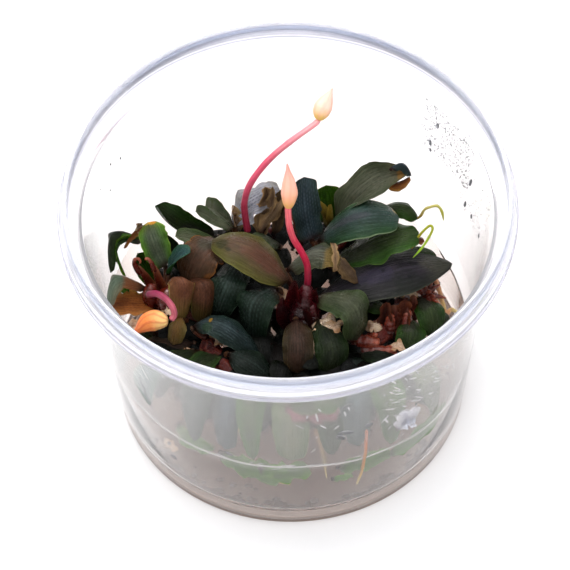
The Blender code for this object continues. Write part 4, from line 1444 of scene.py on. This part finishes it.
@dataclass
class LeafMaker:
    """Turns leaf rows into closed blades.

    Attributes:
        petiole: half width of the leaf's own stalk.
        petiole_share: the stalk's share of the leaf's length.
        thickness: thickness of the blade in its middle.
        groove: depth of the groove over the midrib.
        keel: height of the keel under it.
        rib_share: half the rib's width as a share of the blade's half width.
        stations: steps along the midrib.
        sides: points round the blade's cut.
    """

    petiole: float = 0.65
    petiole_share: float = 0.07
    thickness: float = 0.42
    groove: float = 0.13
    keel: float = 0.16
    rib_share: float = 0.1
    stations: int = 64
    sides: int = 40

    def half_width(self, u: np.ndarray, row: LeafRow) -> np.ndarray:
        """Half the width at a share u of the length.

        The stalk's half width, then it plus (w/2 - it) times sin(pi a^peak)^full over the
        blade's own length a, rounded off as a quarter circle over the last fortieth.

        Args:
            u: shares of the leaf's length.
            row: the leaf.

        Returns:
            Half the width at each.
        """
        a = np.clip((u - self.petiole_share) / (1 - self.petiole_share), 0, 1)
        peak, full = row.outline.value
        oval = np.maximum(np.sin(math.pi * a ** peak), 0) ** full
        reach = self.petiole + (row.width / 2 - self.petiole) * oval
        end = np.clip((u - 0.972) / 0.028, 0, 1)
        return reach * np.sqrt(1 - 0.98 * end ** 2)

    def skin(self, row: LeafRow, seed: int) -> Skin:
        """The closed surface of one leaf.

        The midrib is the parabola through foot, middle and tip. A ring point is the midrib
        + side w cos(rise) c + face (w sin(rise) |c|^1.4 + waves + t s / 2), where c and s are
        cosine and sine of the ring's angle, w the half width and t the thickness. The upper
        side has a groove over the midrib and the lower side a keel.

        Args:
            row: the leaf.
            seed: picks its unevenness.

        Returns:
            The surface.
        """
        u = np.linspace(0, 1, self.stations)
        foot, middle, tip = (np.array(p, float) for p in (row.foot, row.middle, row.tip))
        bend = 2 * middle - (foot + tip) / 2
        k = u[:, None]
        spine = (1 - k) ** 2 * foot + 2 * k * (1 - k) * bend + k ** 2 * tip
        across = unit(np.cross((0, 0, 1), tip - foot))
        tangent = unit(np.gradient(spine, axis=0))
        side = unit(across - tangent * (tangent @ across)[:, None])
        face = np.cross(tangent, side)
        turn = np.radians(row.roll + row.twist * (u - 0.5))[:, None]
        side, face = (side * np.cos(turn) + face * np.sin(turn),
                      face * np.cos(turn) - side * np.sin(turn))
        angle = ring_angles(self.sides)
        c, s = np.cos(angle)[None], np.sin(angle)[None]
        blade = step_up(u, self.petiole_share, 0.25)[:, None]
        left, right = (waves(u, seed + side_seed, 2.5)[:, None] for side_seed in (0, 101))
        uneven = 1 + row.ragged * blade * np.where(c > 0, left, right) * np.abs(c)
        reach = self.half_width(u, row)[:, None] * uneven
        thick = self.thickness * (0.35 + 0.65 * (1 - c ** 2)) * (1 + 1.4 * (1 - blade))
        thick = thick * np.minimum(1, 0.25 + 12 * (1 - u[:, None]))
        lift = math.radians(row.rise)
        phase = seed * 1.3
        ruffle = np.sin(math.tau * 1.6 * u[:, None] + phase + 1.2 * c) * c ** 2
        ruffle = ruffle + 0.4 * np.sin(math.tau * 4.1 * u[:, None] + 2 * phase - 2 * c) * c ** 4
        rib = np.exp(-(c / self.rib_share) ** 2) * blade
        z = (reach * math.sin(lift) * np.abs(c) ** 1.4 + row.ripple * reach * ruffle * blade
             + thick / 2 * s - self.groove * rib * (s > 0) - self.keel * rib * (s < 0))
        x = reach * math.cos(lift) * c
        rings = spine[:, None] + x[..., None] * side[:, None] + z[..., None] * face[:, None]
        v = np.append(0.5 + 0.5 * c[0], 0.5 + 0.5 * c[0, 0])
        upper = np.broadcast_to(0.5 + 0.5 * s, z.shape)
        return Skin(rings, u, v, upper, row.shade)


@dataclass
class Foliage:
    """All the leaves: those of the CAD model, the scraps at the crowns and near-black ones under
    them, whose dark colour is painted shade.

    The near-black ones stand on a square grid, within an oval whose half sizes and middle y the
    spread gives, and point away from the heart. The gaps, each x, y and radius, stay free.
    """

    effects: Effects
    gel: CultureGel
    made: dict = field(default_factory=dict)
    spacing: float = 4.4
    per_side: int = 18
    spread: Point = (33, 28, -5)
    heart: tuple[float, float] = (-2, -4)
    gaps: tuple = ((-1.8, -1.0, 3.2), (7, -8.4, 3.6), (-17.5, -10.5, 2.8), (20, -6, 3.0),
                   (31, 2, 5.0), (34, -2, 4.5), (-24, -14, 2.4), (-35, -2, 4), (-29, 12, 4),
                   (4, 12, 3), (-3, 16, 3), (12, -11, 2.4), (26, 4, 3))

    def finish(self, kind: Leaf) -> Material:
        """The material of a kind of leaf, made once."""
        if kind not in self.made:
            self.made[kind] = kind.finish.material("blade_" + kind.name.lower(), self.effects)
        return self.made[kind]

    def painted_shade_rows(self) -> list[LeafRow]:
        """Rows for the near-black leaves under the crowns, on an uneven grid: painted shade."""
        rng = np.random.default_rng(7)
        rows = []
        half = (self.per_side - 1) / 2
        wide, deep, middle = self.spread
        for i, j in np.ndindex(self.per_side, self.per_side):
            x = (i - half) * self.spacing + rng.uniform(-1, 1)
            y = (j - half) * self.spacing + rng.uniform(-1, 1)
            level = float(self.gel.level(x)) + rng.uniform(0.8, 3.0)
            a = math.atan2(y - self.heart[1], x - self.heart[0]) + rng.uniform(-1.2, 1.2)
            length, lift = rng.uniform(8, 12), rng.uniform(-0.5, 2.5)
            width, roll = rng.uniform(4.6, 6.4), rng.uniform(-20, 20)
            kind = (Leaf.DARK, Leaf.DARK, Leaf.TEAL, Leaf.MAUVE)[rng.integers(4)]
            if (x / wide) ** 2 + ((y - middle) / deep) ** 2 > 1 or any(
                    math.hypot(x - gx, y - gy) < size for gx, gy, size in self.gaps):
                continue
            way = np.array([math.cos(a), math.sin(a), 0]) * length / 2
            foot, tip = np.array([x, y, level]) - way, np.array([x, y, level + lift]) + way
            mid = (foot + tip) / 2 + (0, 0, 1.6)
            # a shade number of 0.06 makes them near black: painted shade between the leaves
            rows.append(LeafRow(tuple(foot), tuple(mid), tuple(tip), width, -20, roll, kind,
                                shade=0.06))
        return rows

    def build(self) -> None:
        """Makes every leaf."""
        batches = (
            (LEAVES, LeafMaker(), 0, "blade_"), (FRONT, LeafMaker(stations=44, sides=28), 160, ""),
            (SCRAPS, LeafMaker(petiole=0.35, thickness=0.3, stations=36, sides=24), 60, ""))
        for table, maker, first, prefix in batches:
            for seed, (name, row) in enumerate(table.items(), first):
                make_piece(prefix + name, [maker.skin(row, seed)], self.finish(row.kind),
                           ("leaf_" + name,) if table is LEAVES else ())
        coarse = LeafMaker(petiole=0.4, thickness=0.4, stations=20, sides=14)
        rows = self.painted_shade_rows()
        for kind in (Leaf.DARK, Leaf.TEAL, Leaf.MAUVE):
            skins = [coarse.skin(row, 200 + i) for i, row in enumerate(rows) if row.kind is kind]
            make_piece("painted_shade_leaves_" + kind.name.lower(), skins, self.finish(kind))


# ---------------------------------------------------------------- stems, flowers and roots


@dataclass(frozen=True)
class Tubes:
    """Tubes that make one piece, and how they look.

    Attributes:
        name: the piece's name.
        look: the material's name.
        slot: the record's slot; not used.
        finish: the finish.
        rows: stations of each tube: x, y, z and radius.
        sides: points in a ring.
        count: stations along the finished tube.
        seed: picks the unevenness of the first tube, and one more that of each next one.
        bumps: the unevenness as a share of the radius.
        close: length of the rounding at each end, as a share of the whole.
        stands_for: CAD nodes that it replaces.
    """

    name: str
    look: str
    slot: str
    finish: StemFinish
    rows: list
    sides: int
    count: int
    seed: int
    bumps: float
    close: float = 0.15
    stands_for: tuple[str, ...] = ()

    def build(self, effects: Effects) -> None:
        """Makes the piece."""
        skins = [tube_skin(rows, self.sides, self.count, self.seed + i, self.bumps, self.close)
                 for i, rows in enumerate(self.rows)]
        make_piece(self.name, skins, self.finish.material(self.look, effects),
                   self.stands_for)


@dataclass
class Stems:
    """Creeping stems, leaf stalks, flower stalks with their sheaths, and roots."""

    effects: Effects
    rhizomes: dict = field(default_factory=lambda: {
        "centre": [(1, -18, 28, 1.3), (0.5, -10, 28.7, 2.0), (2.5, -4, 29.4, 2.7),
                   (3.5, -2, 33, 1.8)],
        "left": [(-20, -5, 28.2, 1.4), (-24.5, -2, 28.9, 2.1), (-28, 1.5, 29.4, 2.6),
                 (-28.5, 1.5, 33, 1.8)],
        "back": [(-3, 22, 28.2, 1.4), (-7, 18, 28.9, 2.1), (-9.5, 15, 29.4, 2.5),
                 (-9.5, 13.5, 32.5, 1.6)],
        "back_right": [(17, 23, 26.8, 1.4), (12, 18.5, 28.2, 2.0), (8.5, 14, 29, 2.4),
                       (7.5, 12, 32, 1.6)],
        "right": [(14.5, -11.5, 27.4, 1.6), (19, -9.5, 27.6, 2.6), (24, -4, 27.2, 3.0),
                  (27, 2.5, 26.2, 2.2)],
        "front": [(-10, -25, 28.2, 1.4), (-14, -18.5, 28.9, 2.0), (-18, -12.5, 29.2, 2.4),
                  (-18.5, -10.5, 31.5, 1.6)]})
    stalks: dict = field(default_factory=lambda: {
        "tall": [(-9.2, 16.3, 34.5), (-9.7, 18, 39), (-9.7, 19, 43), (-8.1, 20, 48.3),
                 (-4.2, 21.5, 54.2), (1, 22.5, 59.8), (6.8, 24, 64.3), (7.3, 24.5, 65.1)],
        "middle": [(3.8, -2.2, 35.3), (4.1, -0.5, 40), (4, 1, 42.5), (3, 2, 45.5), (1.2, 3, 49.5),
                   (0.3, 4, 53), (0.1, 5.4, 56.8), (0.2, 5.9, 57.9)],
        "left": [(-30.5, -0.6, 34.6), (-31.5, -3, 38.5), (-29.5, -5, 41.3), (-27.5, -7.3, 42.5),
                 (-26.1, -9.3, 42), (-25.8, -10.3, 40.6), (-26.6, -11.2, 39.8)]})
    spathes: dict = field(default_factory=lambda: {
        "tall": ((7.3, 24.4, 64.9), (8.7, 26.3, 67.4), (10.7, 29, 70.2), 2.1),
        "middle": ((0.2, 5.6, 57.4), (0.5, 8.5, 62), (0.2, 11.5, 66), 1.8),
        "left": ((-27.2, -11.3, 39.6), (-31.2, -10.8, 39.2), (-35.3, -12.8, 37), 2.4)})
    stalk_radius: float = 0.75
    joints: int = 7
    lap: float = 0.09
    winding: float = 0.33
    stalk_finish: dict = field(default_factory=lambda: {
        "tall": StemFinish((132, 34, 54), (206, 84, 108), (240, 168, 172), (180, 60, 84),
                           0.3, 0.3),
        "middle": StemFinish((64, 9, 24), (184, 36, 66), (228, 112, 120), (150, 26, 52), 0.3, 0.3),
        "left": StemFinish((78, 12, 34), (138, 46, 76), (186, 100, 112), (118, 36, 62), 0.3, 0.3)})
    spathe_finish: dict = field(default_factory=lambda: {
        "tall": StemFinish((226, 186, 104), (246, 202, 184), (250, 190, 176), (236, 170, 150)),
        "middle": StemFinish((222, 168, 100), (242, 176, 156), (238, 148, 140), (226, 150, 128),
                             0.35),
        "left": StemFinish((238, 196, 128), (230, 136, 72), (212, 108, 62), (198, 84, 56), 0.45,
                           relief=0.0002, lines=9.0)})
    bark: StemFinish = StemFinish((52, 14, 12), (74, 24, 20), (48, 12, 12), (108, 52, 40), 0.35,
                                  0.25, 0.05, 0.0005)

    def build_rhizomes(self) -> None:
        """Makes the creeping stems, drawn in at their joints."""
        finish = self.bark.material("rhizome_bark", self.effects)
        for seed, (name, rows) in enumerate(self.rhizomes.items()):
            path = smooth_path(rows, 72)
            u = np.linspace(0, 1, len(path))
            path[:, 3] *= 0.93 + 0.09 * np.abs(np.cos(math.pi * self.joints * u)) ** 0.6
            skin = tube_skin(path, 28, 72, seed + 3, 0.07, 0.08)
            make_piece("rhizome_" + name + "_bark", [skin], finish,
                       ("rhizome_" + name,))

    def build_flowers(self) -> None:
        """Makes each flower stalk and its closed sheath."""
        for seed, (name, points) in enumerate(self.stalks.items()):
            rows = np.array(points, float)
            radius = self.stalk_radius * np.linspace(1.08, 0.92, len(rows))
            skin = tube_skin(np.column_stack([rows, radius]), 24, 90, seed + 11, 0.03, 0.02)
            make_piece("stalk_" + name, [skin],
                       self.stalk_finish[name].material("stalk_" + name, self.effects),
                       ("flower_stalk_" + name,))
        for seed, (name, (foot, belly, tip, radius)) in enumerate(self.spathes.items()):
            make_piece("sheath_" + name, [self.spathe_skin(foot, belly, tip, radius, seed)],
                       self.spathe_finish[name].material("sheath_" + name, self.effects),
                       ("spathe_" + name,))

    def spathe_skin(self, foot: Point, belly: Point, tip: Point, radius: float,
                    seed: int) -> Skin:
        """A closed flower sheath: a bud rolled up from one blade, with a beak.

        The radius follows the CAD shape's shares along the axis. Round the ring it grows by
        the lap up to the seam, where the outer edge lies over the inner one and drops back,
        and the seam winds round the bud by a share of a turn.

        Args:
            foot: first point of the axis.
            belly: the point half way.
            tip: last point.
            radius: greatest radius.
            seed: picks the unevenness.

        Returns:
            The surface.
        """
        count, sides = 64, 48
        path = smooth_path([foot, belly, tip], count)
        u = np.linspace(0, 1, count)
        shares = [0.36, 0.72, 0.93, 1, 0.93, 0.76, 0.52, 0.26, 0.1]
        spots = np.linspace(0, 1, len(shares))
        body = smooth_path(np.column_stack([spots, shares, 0 * spots]), count)
        size = np.interp(u, body[:, 0], body[:, 1]) * radius
        size = size * np.sqrt(np.minimum(1, (u + 0.002) / 0.03))
        seam = (ring_angles(sides)[None] / math.tau + self.winding * u[:, None] + 0.1 * seed) % 1
        lap = 1 + self.lap * (seam ** 1.5 - 0.4) * step_up(u, 0.05, 0.3)[:, None]
        reach = size[:, None] * lap * (1 + 0.02 * waves(u, seed + 31, 3)[:, None])
        return Skin(rings_round(path, reach), u, ring_shares(sides))

    def leaf_stalks(self) -> list[np.ndarray]:
        """Rows for a stalk from the nearest creeping stem to the foot of each leaf."""
        stems = np.vstack([smooth_path(rows, 24) for rows in self.rhizomes.values()])
        stalks = []
        for row in LEAVES.values():
            foot, middle = np.array(row.foot), np.array(row.middle)
            far = np.linalg.norm((stems[:, :3] - foot) * (1, 1, 0.6), axis=1)
            start = stems[int(np.argmin(far)), :3]
            ahead = foot + 0.08 * (middle - foot)
            bow = (start + foot) / 2 + (0, 0, -0.25 * np.linalg.norm((foot - start)[:2]))
            stalks.append(np.array([(*start, 0.8), (*bow, 0.7), (*foot, 0.66), (*ahead, 0.5)]))
        return stalks

    def tuft(self) -> list[list]:
        """Rows for the spiky tuft: 22 bent spikes from one root, leaning up at random."""
        rng = np.random.default_rng(19)
        root = np.array([31.0, 0.6, 30.0])
        spikes = []
        for _ in range(22):
            way = unit(rng.normal(size=3) * (1.0, 0.8, 0.4) + (0.1, -0.1, 0.5))
            length = rng.uniform(2.4, 5.2)
            sag = np.array([0, 0, rng.uniform(-0.6, 0.6)])
            spikes.append([(*root, 0.9), (*(root + way * length / 2 + sag), 0.6),
                           (*(root + way * length), 0.14)])
        return spikes

    def small_pieces(self) -> tuple[Tubes, ...]:
        """The leaf stalks, the broken and hooked stalks, the crown's base and all the roots."""
        return (
            Tubes("leaf_stalks", "leaf_stalk", "rhizome_red", StemFinish(
                (44, 16, 12), (70, 34, 22), (58, 40, 26), (92, 52, 34), 0.3, 0.3, 0.05),
                self.leaf_stalks(), 10, 18, 50, 0.08, 0.06),
            # broken leaf stalks that stand up from the right stem, and the tuft beside them
            Tubes("stalk_stubs", "broken_stalk", "rhizome_red", StemFinish(
                (34, 10, 8), (84, 30, 22), (136, 66, 46), (50, 16, 12), 0.5, 0.2, 0.15,
                shine=0.3), [
                    [(22.2, -8.4, 28, 1.5), (22.4, -7, 30.6, 1.3), (22.6, -5.8, 32.4, 0.9)],
                    [(26.2, -8, 28, 1.5), (26.2, -6.2, 30.6, 1.3), (26.6, -4.8, 32.4, 0.8)],
                    [(19.6, -8.4, 27.6, 1.7), (19.4, -7.4, 29.4, 1.6), (19.2, -6.6, 30.6, 1.2)],
                    [(13, -9.6, 28, 1.3), (16.6, -11, 28.8, 1.7), (20, -11.6, 28.6, 1.5)],
                    [(15, -12.4, 27.4, 1.1), (19.4, -13.4, 28.2, 1.4), (23.8, -13.2, 28, 1.2)],
                    [(17.6, -9.6, 28, 0.8), (18.4, -10, 30, 0.7), (19.4, -10.8, 30.6, 0.5)],
                    *self.tuft()], 14, 24, 80, 0.09, 0.1),
            # the two curled tips of the red leaf stalks at the left
            Tubes("hooked_stalks", "red_stalk", "rhizome_red", StemFinish(
                (58, 14, 10), (72, 22, 15), (156, 92, 70), (50, 12, 10), 0.4, 0.16, 0.1), [
                    [(-33.4, 2.5, 38.5, 0.9), (-34.6, 3.3, 41.0, 0.62), (-34.6, 3.6, 42.6, 0.42),
                     (-33.8, 3.6, 43, 0.34), (-33.3, 3.4, 42.2, 0.28), (-33.7, 3.2, 41.6, 0.22)],
                    [(-30.2, 2.0, 40, 0.8), (-30.8, 2.7, 42.4, 0.52), (-31.7, 3.3, 43.4, 0.36),
                     (-32.3, 3.2, 43, 0.26)]], 16, 30, 120, 0.05),
            # the swollen dark red base that the middle flower stalk stands in; its near-black foot
            # and dark red are partly its own colour and partly painted shade
            Tubes("crown_base", "crown_skin", "rhizome_red", StemFinish(
                (12, 3, 3), (26, 4, 6), (62, 9, 16), (40, 6, 10), 0.4, 0.2, 0.05, shine=0.3), [
                    [(1.4, -6.6, 27.4, 2.4), (2.2, -4.8, 30.5, 3.2), (3.2, -3.2, 34, 2.5),
                     (3.9, -1.8, 38.6, 1.15)],
                    [(5.6, -6.6, 27.6, 1.5), (5.2, -5.2, 31, 1.9), (4.6, -3.8, 34.6, 1.3)]],
                28, 48, 140, 0.04, 0.08),
            # the two wet, swollen feet of the hooked stalks
            Tubes("stalk_bulbs", "wet_bulb", "rhizome_red", StemFinish(
                (26, 5, 4), (84, 22, 14), (112, 38, 24), (44, 10, 8), 0.5, 0.16, 0.1,
                shine=0.35), [
                    [(-28.4, -0.2, 29.6, 2.4), (-27.4, -0.6, 33, 3.1), (-27.2, 0.2, 36.4, 1.9)],
                    [(-31.4, 0.2, 29, 1.8), (-31.4, 0.4, 33, 2.1), (-31.4, 1.2, 36.4, 1.2)]],
                24, 40, 120, 0.03),
            # roots down through the gel: at the right wall, the front and under the stems
            Tubes("gel_roots", "gel_root", "root_green", StemFinish(
                (182, 118, 90), (196, 148, 108), (206, 196, 132), (150, 92, 66), 0.4), [
                    [(31.8, 8, 28, 0.6), (33.6, 7, 26.5, 0.6), (35, 4, 22.8, 0.55),
                     (35.6, 1.4, 21, 0.5)],
                    [(33.5, 3, 24, 0.5), (35.6, 0.6, 22.6, 0.6), (37, 1.8, 22, 0.5),
                     (38.6, 1.2, 21.6, 0.4)],
                    [(35.4, 0.8, 22.4, 0.7), (36, -1.6, 20.6, 0.6), (37.2, -4, 17, 0.45)],
                    [(32.6, 6.4, 25, 0.4), (34.2, 3, 21.6, 0.45), (36.4, -1, 19, 0.4)],
                    [(15.6, -38.6, 36.4, 0.34), (15.4, -38.8, 28, 0.4), (14.8, -38.4, 20, 0.36),
                     (13.6, -38, 12.4, 0.26)],
                    [(-9, -37.6, 21, 0.25), (-6, -38.4, 17, 0.25), (-1, -38.6, 14.4, 0.2)],
                    [(2, -12, 26, 0.4), (3, -20, 19, 0.36), (6, -28, 12, 0.3), (7, -33, 8, 0.2)],
                    [(-8, -14, 26, 0.4), (-11, -22, 18, 0.34), (-15, -27, 10, 0.2)],
                    [(22, -8, 24, 0.4), (27, -14, 17, 0.34), (29, -19, 10, 0.2)],
                    [(-22, -4, 26, 0.4), (-28, -8, 18, 0.34), (-31, -12, 11, 0.2)]],
                10, 40, 160, 0.14, 0.05),
            Tubes("air_root_hooked", "pale_root", "root_green", StemFinish(
                (120, 104, 48), (186, 182, 106), (176, 180, 70), (150, 120, 60), 0.4), [
                    [(29.2, 16.6, 37.2, 0.36), (30.4, 16.9, 38.3, 0.34), (31.5, 17.5, 40, 0.32),
                     (34, 17.5, 41, 0.34), (35.2, 16.5, 40, 0.34), (35.5, 15.5, 38, 0.2)]],
                14, 60, 5, 0.12, stands_for=("root_hooked",)),
            Tubes("air_root_looped", "lime_root", "root_green", StemFinish(
                (150, 130, 40), (150, 160, 44), (140, 186, 52), (120, 120, 40), 0.3), [
                    [(28, 9.2, 36, 0.32), (28.4, 9.4, 37.2, 0.32), (30, 9.8, 41, 0.3),
                     (32, 10.5, 43, 0.3), (32.5, 9.5, 42.5, 0.3), (30.5, 7.5, 39.5, 0.28),
                     (28, 5.8, 37.2, 0.2)]],
                14, 70, 6, 0.08, stands_for=("root_looped",)))

    def build(self) -> None:
        """Makes every stem, flower and root."""
        self.build_rhizomes()
        self.build_flowers()
        for tubes in self.small_pieces():
            tubes.build(self.effects)


# ---------------------------------------------------------------- studio


@dataclass
class Studio:
    """A pale floor, soft white light and the camera."""

    elevation: float = 54.8
    distance: float = 600.0
    lens: float = 168.14
    roll: float = -1.64
    aim: Point = (-1.05, 0.0, 36.3)
    sky: float = 2.0
    sky_low: float = 0.75
    front: float = 1.0
    lamps: tuple = (("wide_light", 0.7, 2.4, (-0.22, 0.3, 0.75)),
                    ("small_light", 0.1, 1.5, (-0.2, 0.42, 0.7)))
    bounces: int = 20
    floor_colours: tuple[Colour, Colour] = ((247, 247, 248), (244, 244, 246))
    floor_reach: float = 4.0

    def camera(self) -> None:
        """Sets the camera on the line from the aim, at the elevation, turned by the roll."""
        e, turn = math.radians(self.elevation), math.radians(self.roll)
        back = Vector((0, -math.cos(e), math.sin(e)))
        right = Vector((1, 0, 0))
        up = back.cross(right)
        x = right * math.cos(turn) + up * math.sin(turn)
        y = up * math.cos(turn) - right * math.sin(turn)
        data = bpy.data.cameras.new("camera")
        data.lens, data.sensor_width = self.lens, 36.0
        obj = bpy.data.objects.new("camera", data)
        place = (Vector(self.aim) + back * self.distance) * MM
        obj.matrix_world = Matrix((
            (x[0], y[0], back[0], place[0]), (x[1], y[1], back[1], place[1]),
            (x[2], y[2], back[2], place[2]), (0, 0, 0, 1)))
        bpy.context.scene.collection.objects.link(obj)
        bpy.context.scene.camera = obj

    def lights(self) -> None:
        """A white sky, brighter overhead and low in front, and two lamps overhead."""
        world = bpy.data.worlds.new("soft_sky")
        world.use_nodes = True
        shade = world.node_tree.nodes["Background"]
        g = Graph(world.node_tree)
        way = g.parts(g.add("ShaderNodeTexCoord").outputs["Generated"])
        low_front = g.times(g.span(way[1], -0.95, -0.5, self.front, 0.0),
                            g.span(way[2], 0.35, 0.65, 1.0, 0.0))
        over = g.span(way[2], 0.4, 0.95, self.sky_low, self.sky)
        g.fill(shade, {"Color": (1, 1, 1, 1), "Strength": g.plus(over, low_front)})
        bpy.context.scene.world = world
        for name, size, power, place in self.lamps:
            lamp = bpy.data.lights.new(name, "AREA")
            lamp.shape, lamp.size, lamp.energy = "DISK", size, power
            obj = bpy.data.objects.new(name, lamp)
            obj.location = place
            obj.rotation_euler = (Vector((0, 0, 0.03)) - Vector(place)).to_track_quat(
                "-Z", "Y").to_euler()
            bpy.context.scene.collection.objects.link(obj)

    def floor(self) -> None:
        """A wide pale floor with a faint grain."""
        made, g, shader = new_material("pale_floor")
        place = g.add("ShaderNodeTexCoord").outputs["Object"]
        colour = g.mix(g.noise(place, 40.0), *(linear(c) for c in self.floor_colours))
        g.fill(shader, {"Base Color": colour, "Roughness": 0.9, "Specular IOR Level": 0.1})
        mesh, r = bpy.data.meshes.new("floor"), self.floor_reach
        mesh.from_pydata([(-r, -r, 0), (r, -r, 0), (r, r, 0), (-r, r, 0)], [], [(0, 1, 2, 3)])
        mesh.materials.append(made)
        obj = bpy.data.objects.new("floor", mesh)
        bpy.context.scene.collection.objects.link(obj)

    def build(self) -> None:
        """Makes the camera, the lights and the floor."""
        scene = bpy.context.scene
        scene.view_settings.view_transform = "Standard"
        scene.cycles.max_bounces = scene.cycles.transmission_bounces = self.bounces
        self.camera()
        self.lights()
        self.floor()


def corners(bounds: tuple[Vector, Vector]) -> list[list[float]]:
    """A box as plain lists."""
    return [[float(x) for x in corner] for corner in bounds]


def main() -> None:
    """Loads the frame and builds every piece around it."""
    logging.basicConfig(level=logging.INFO, format="%(message)s")
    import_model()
    Studio().build()
    effects = Effects()
    cup = CultureCup()
    cup.build()
    gel = CultureGel(cup)
    gel.build()
    gel.build_sediment(effects)
    WallWater(cup).build(gel)
    Stems(effects).build()
    Foliage(effects, gel).build()


if __name__ == "__main__":
    main()
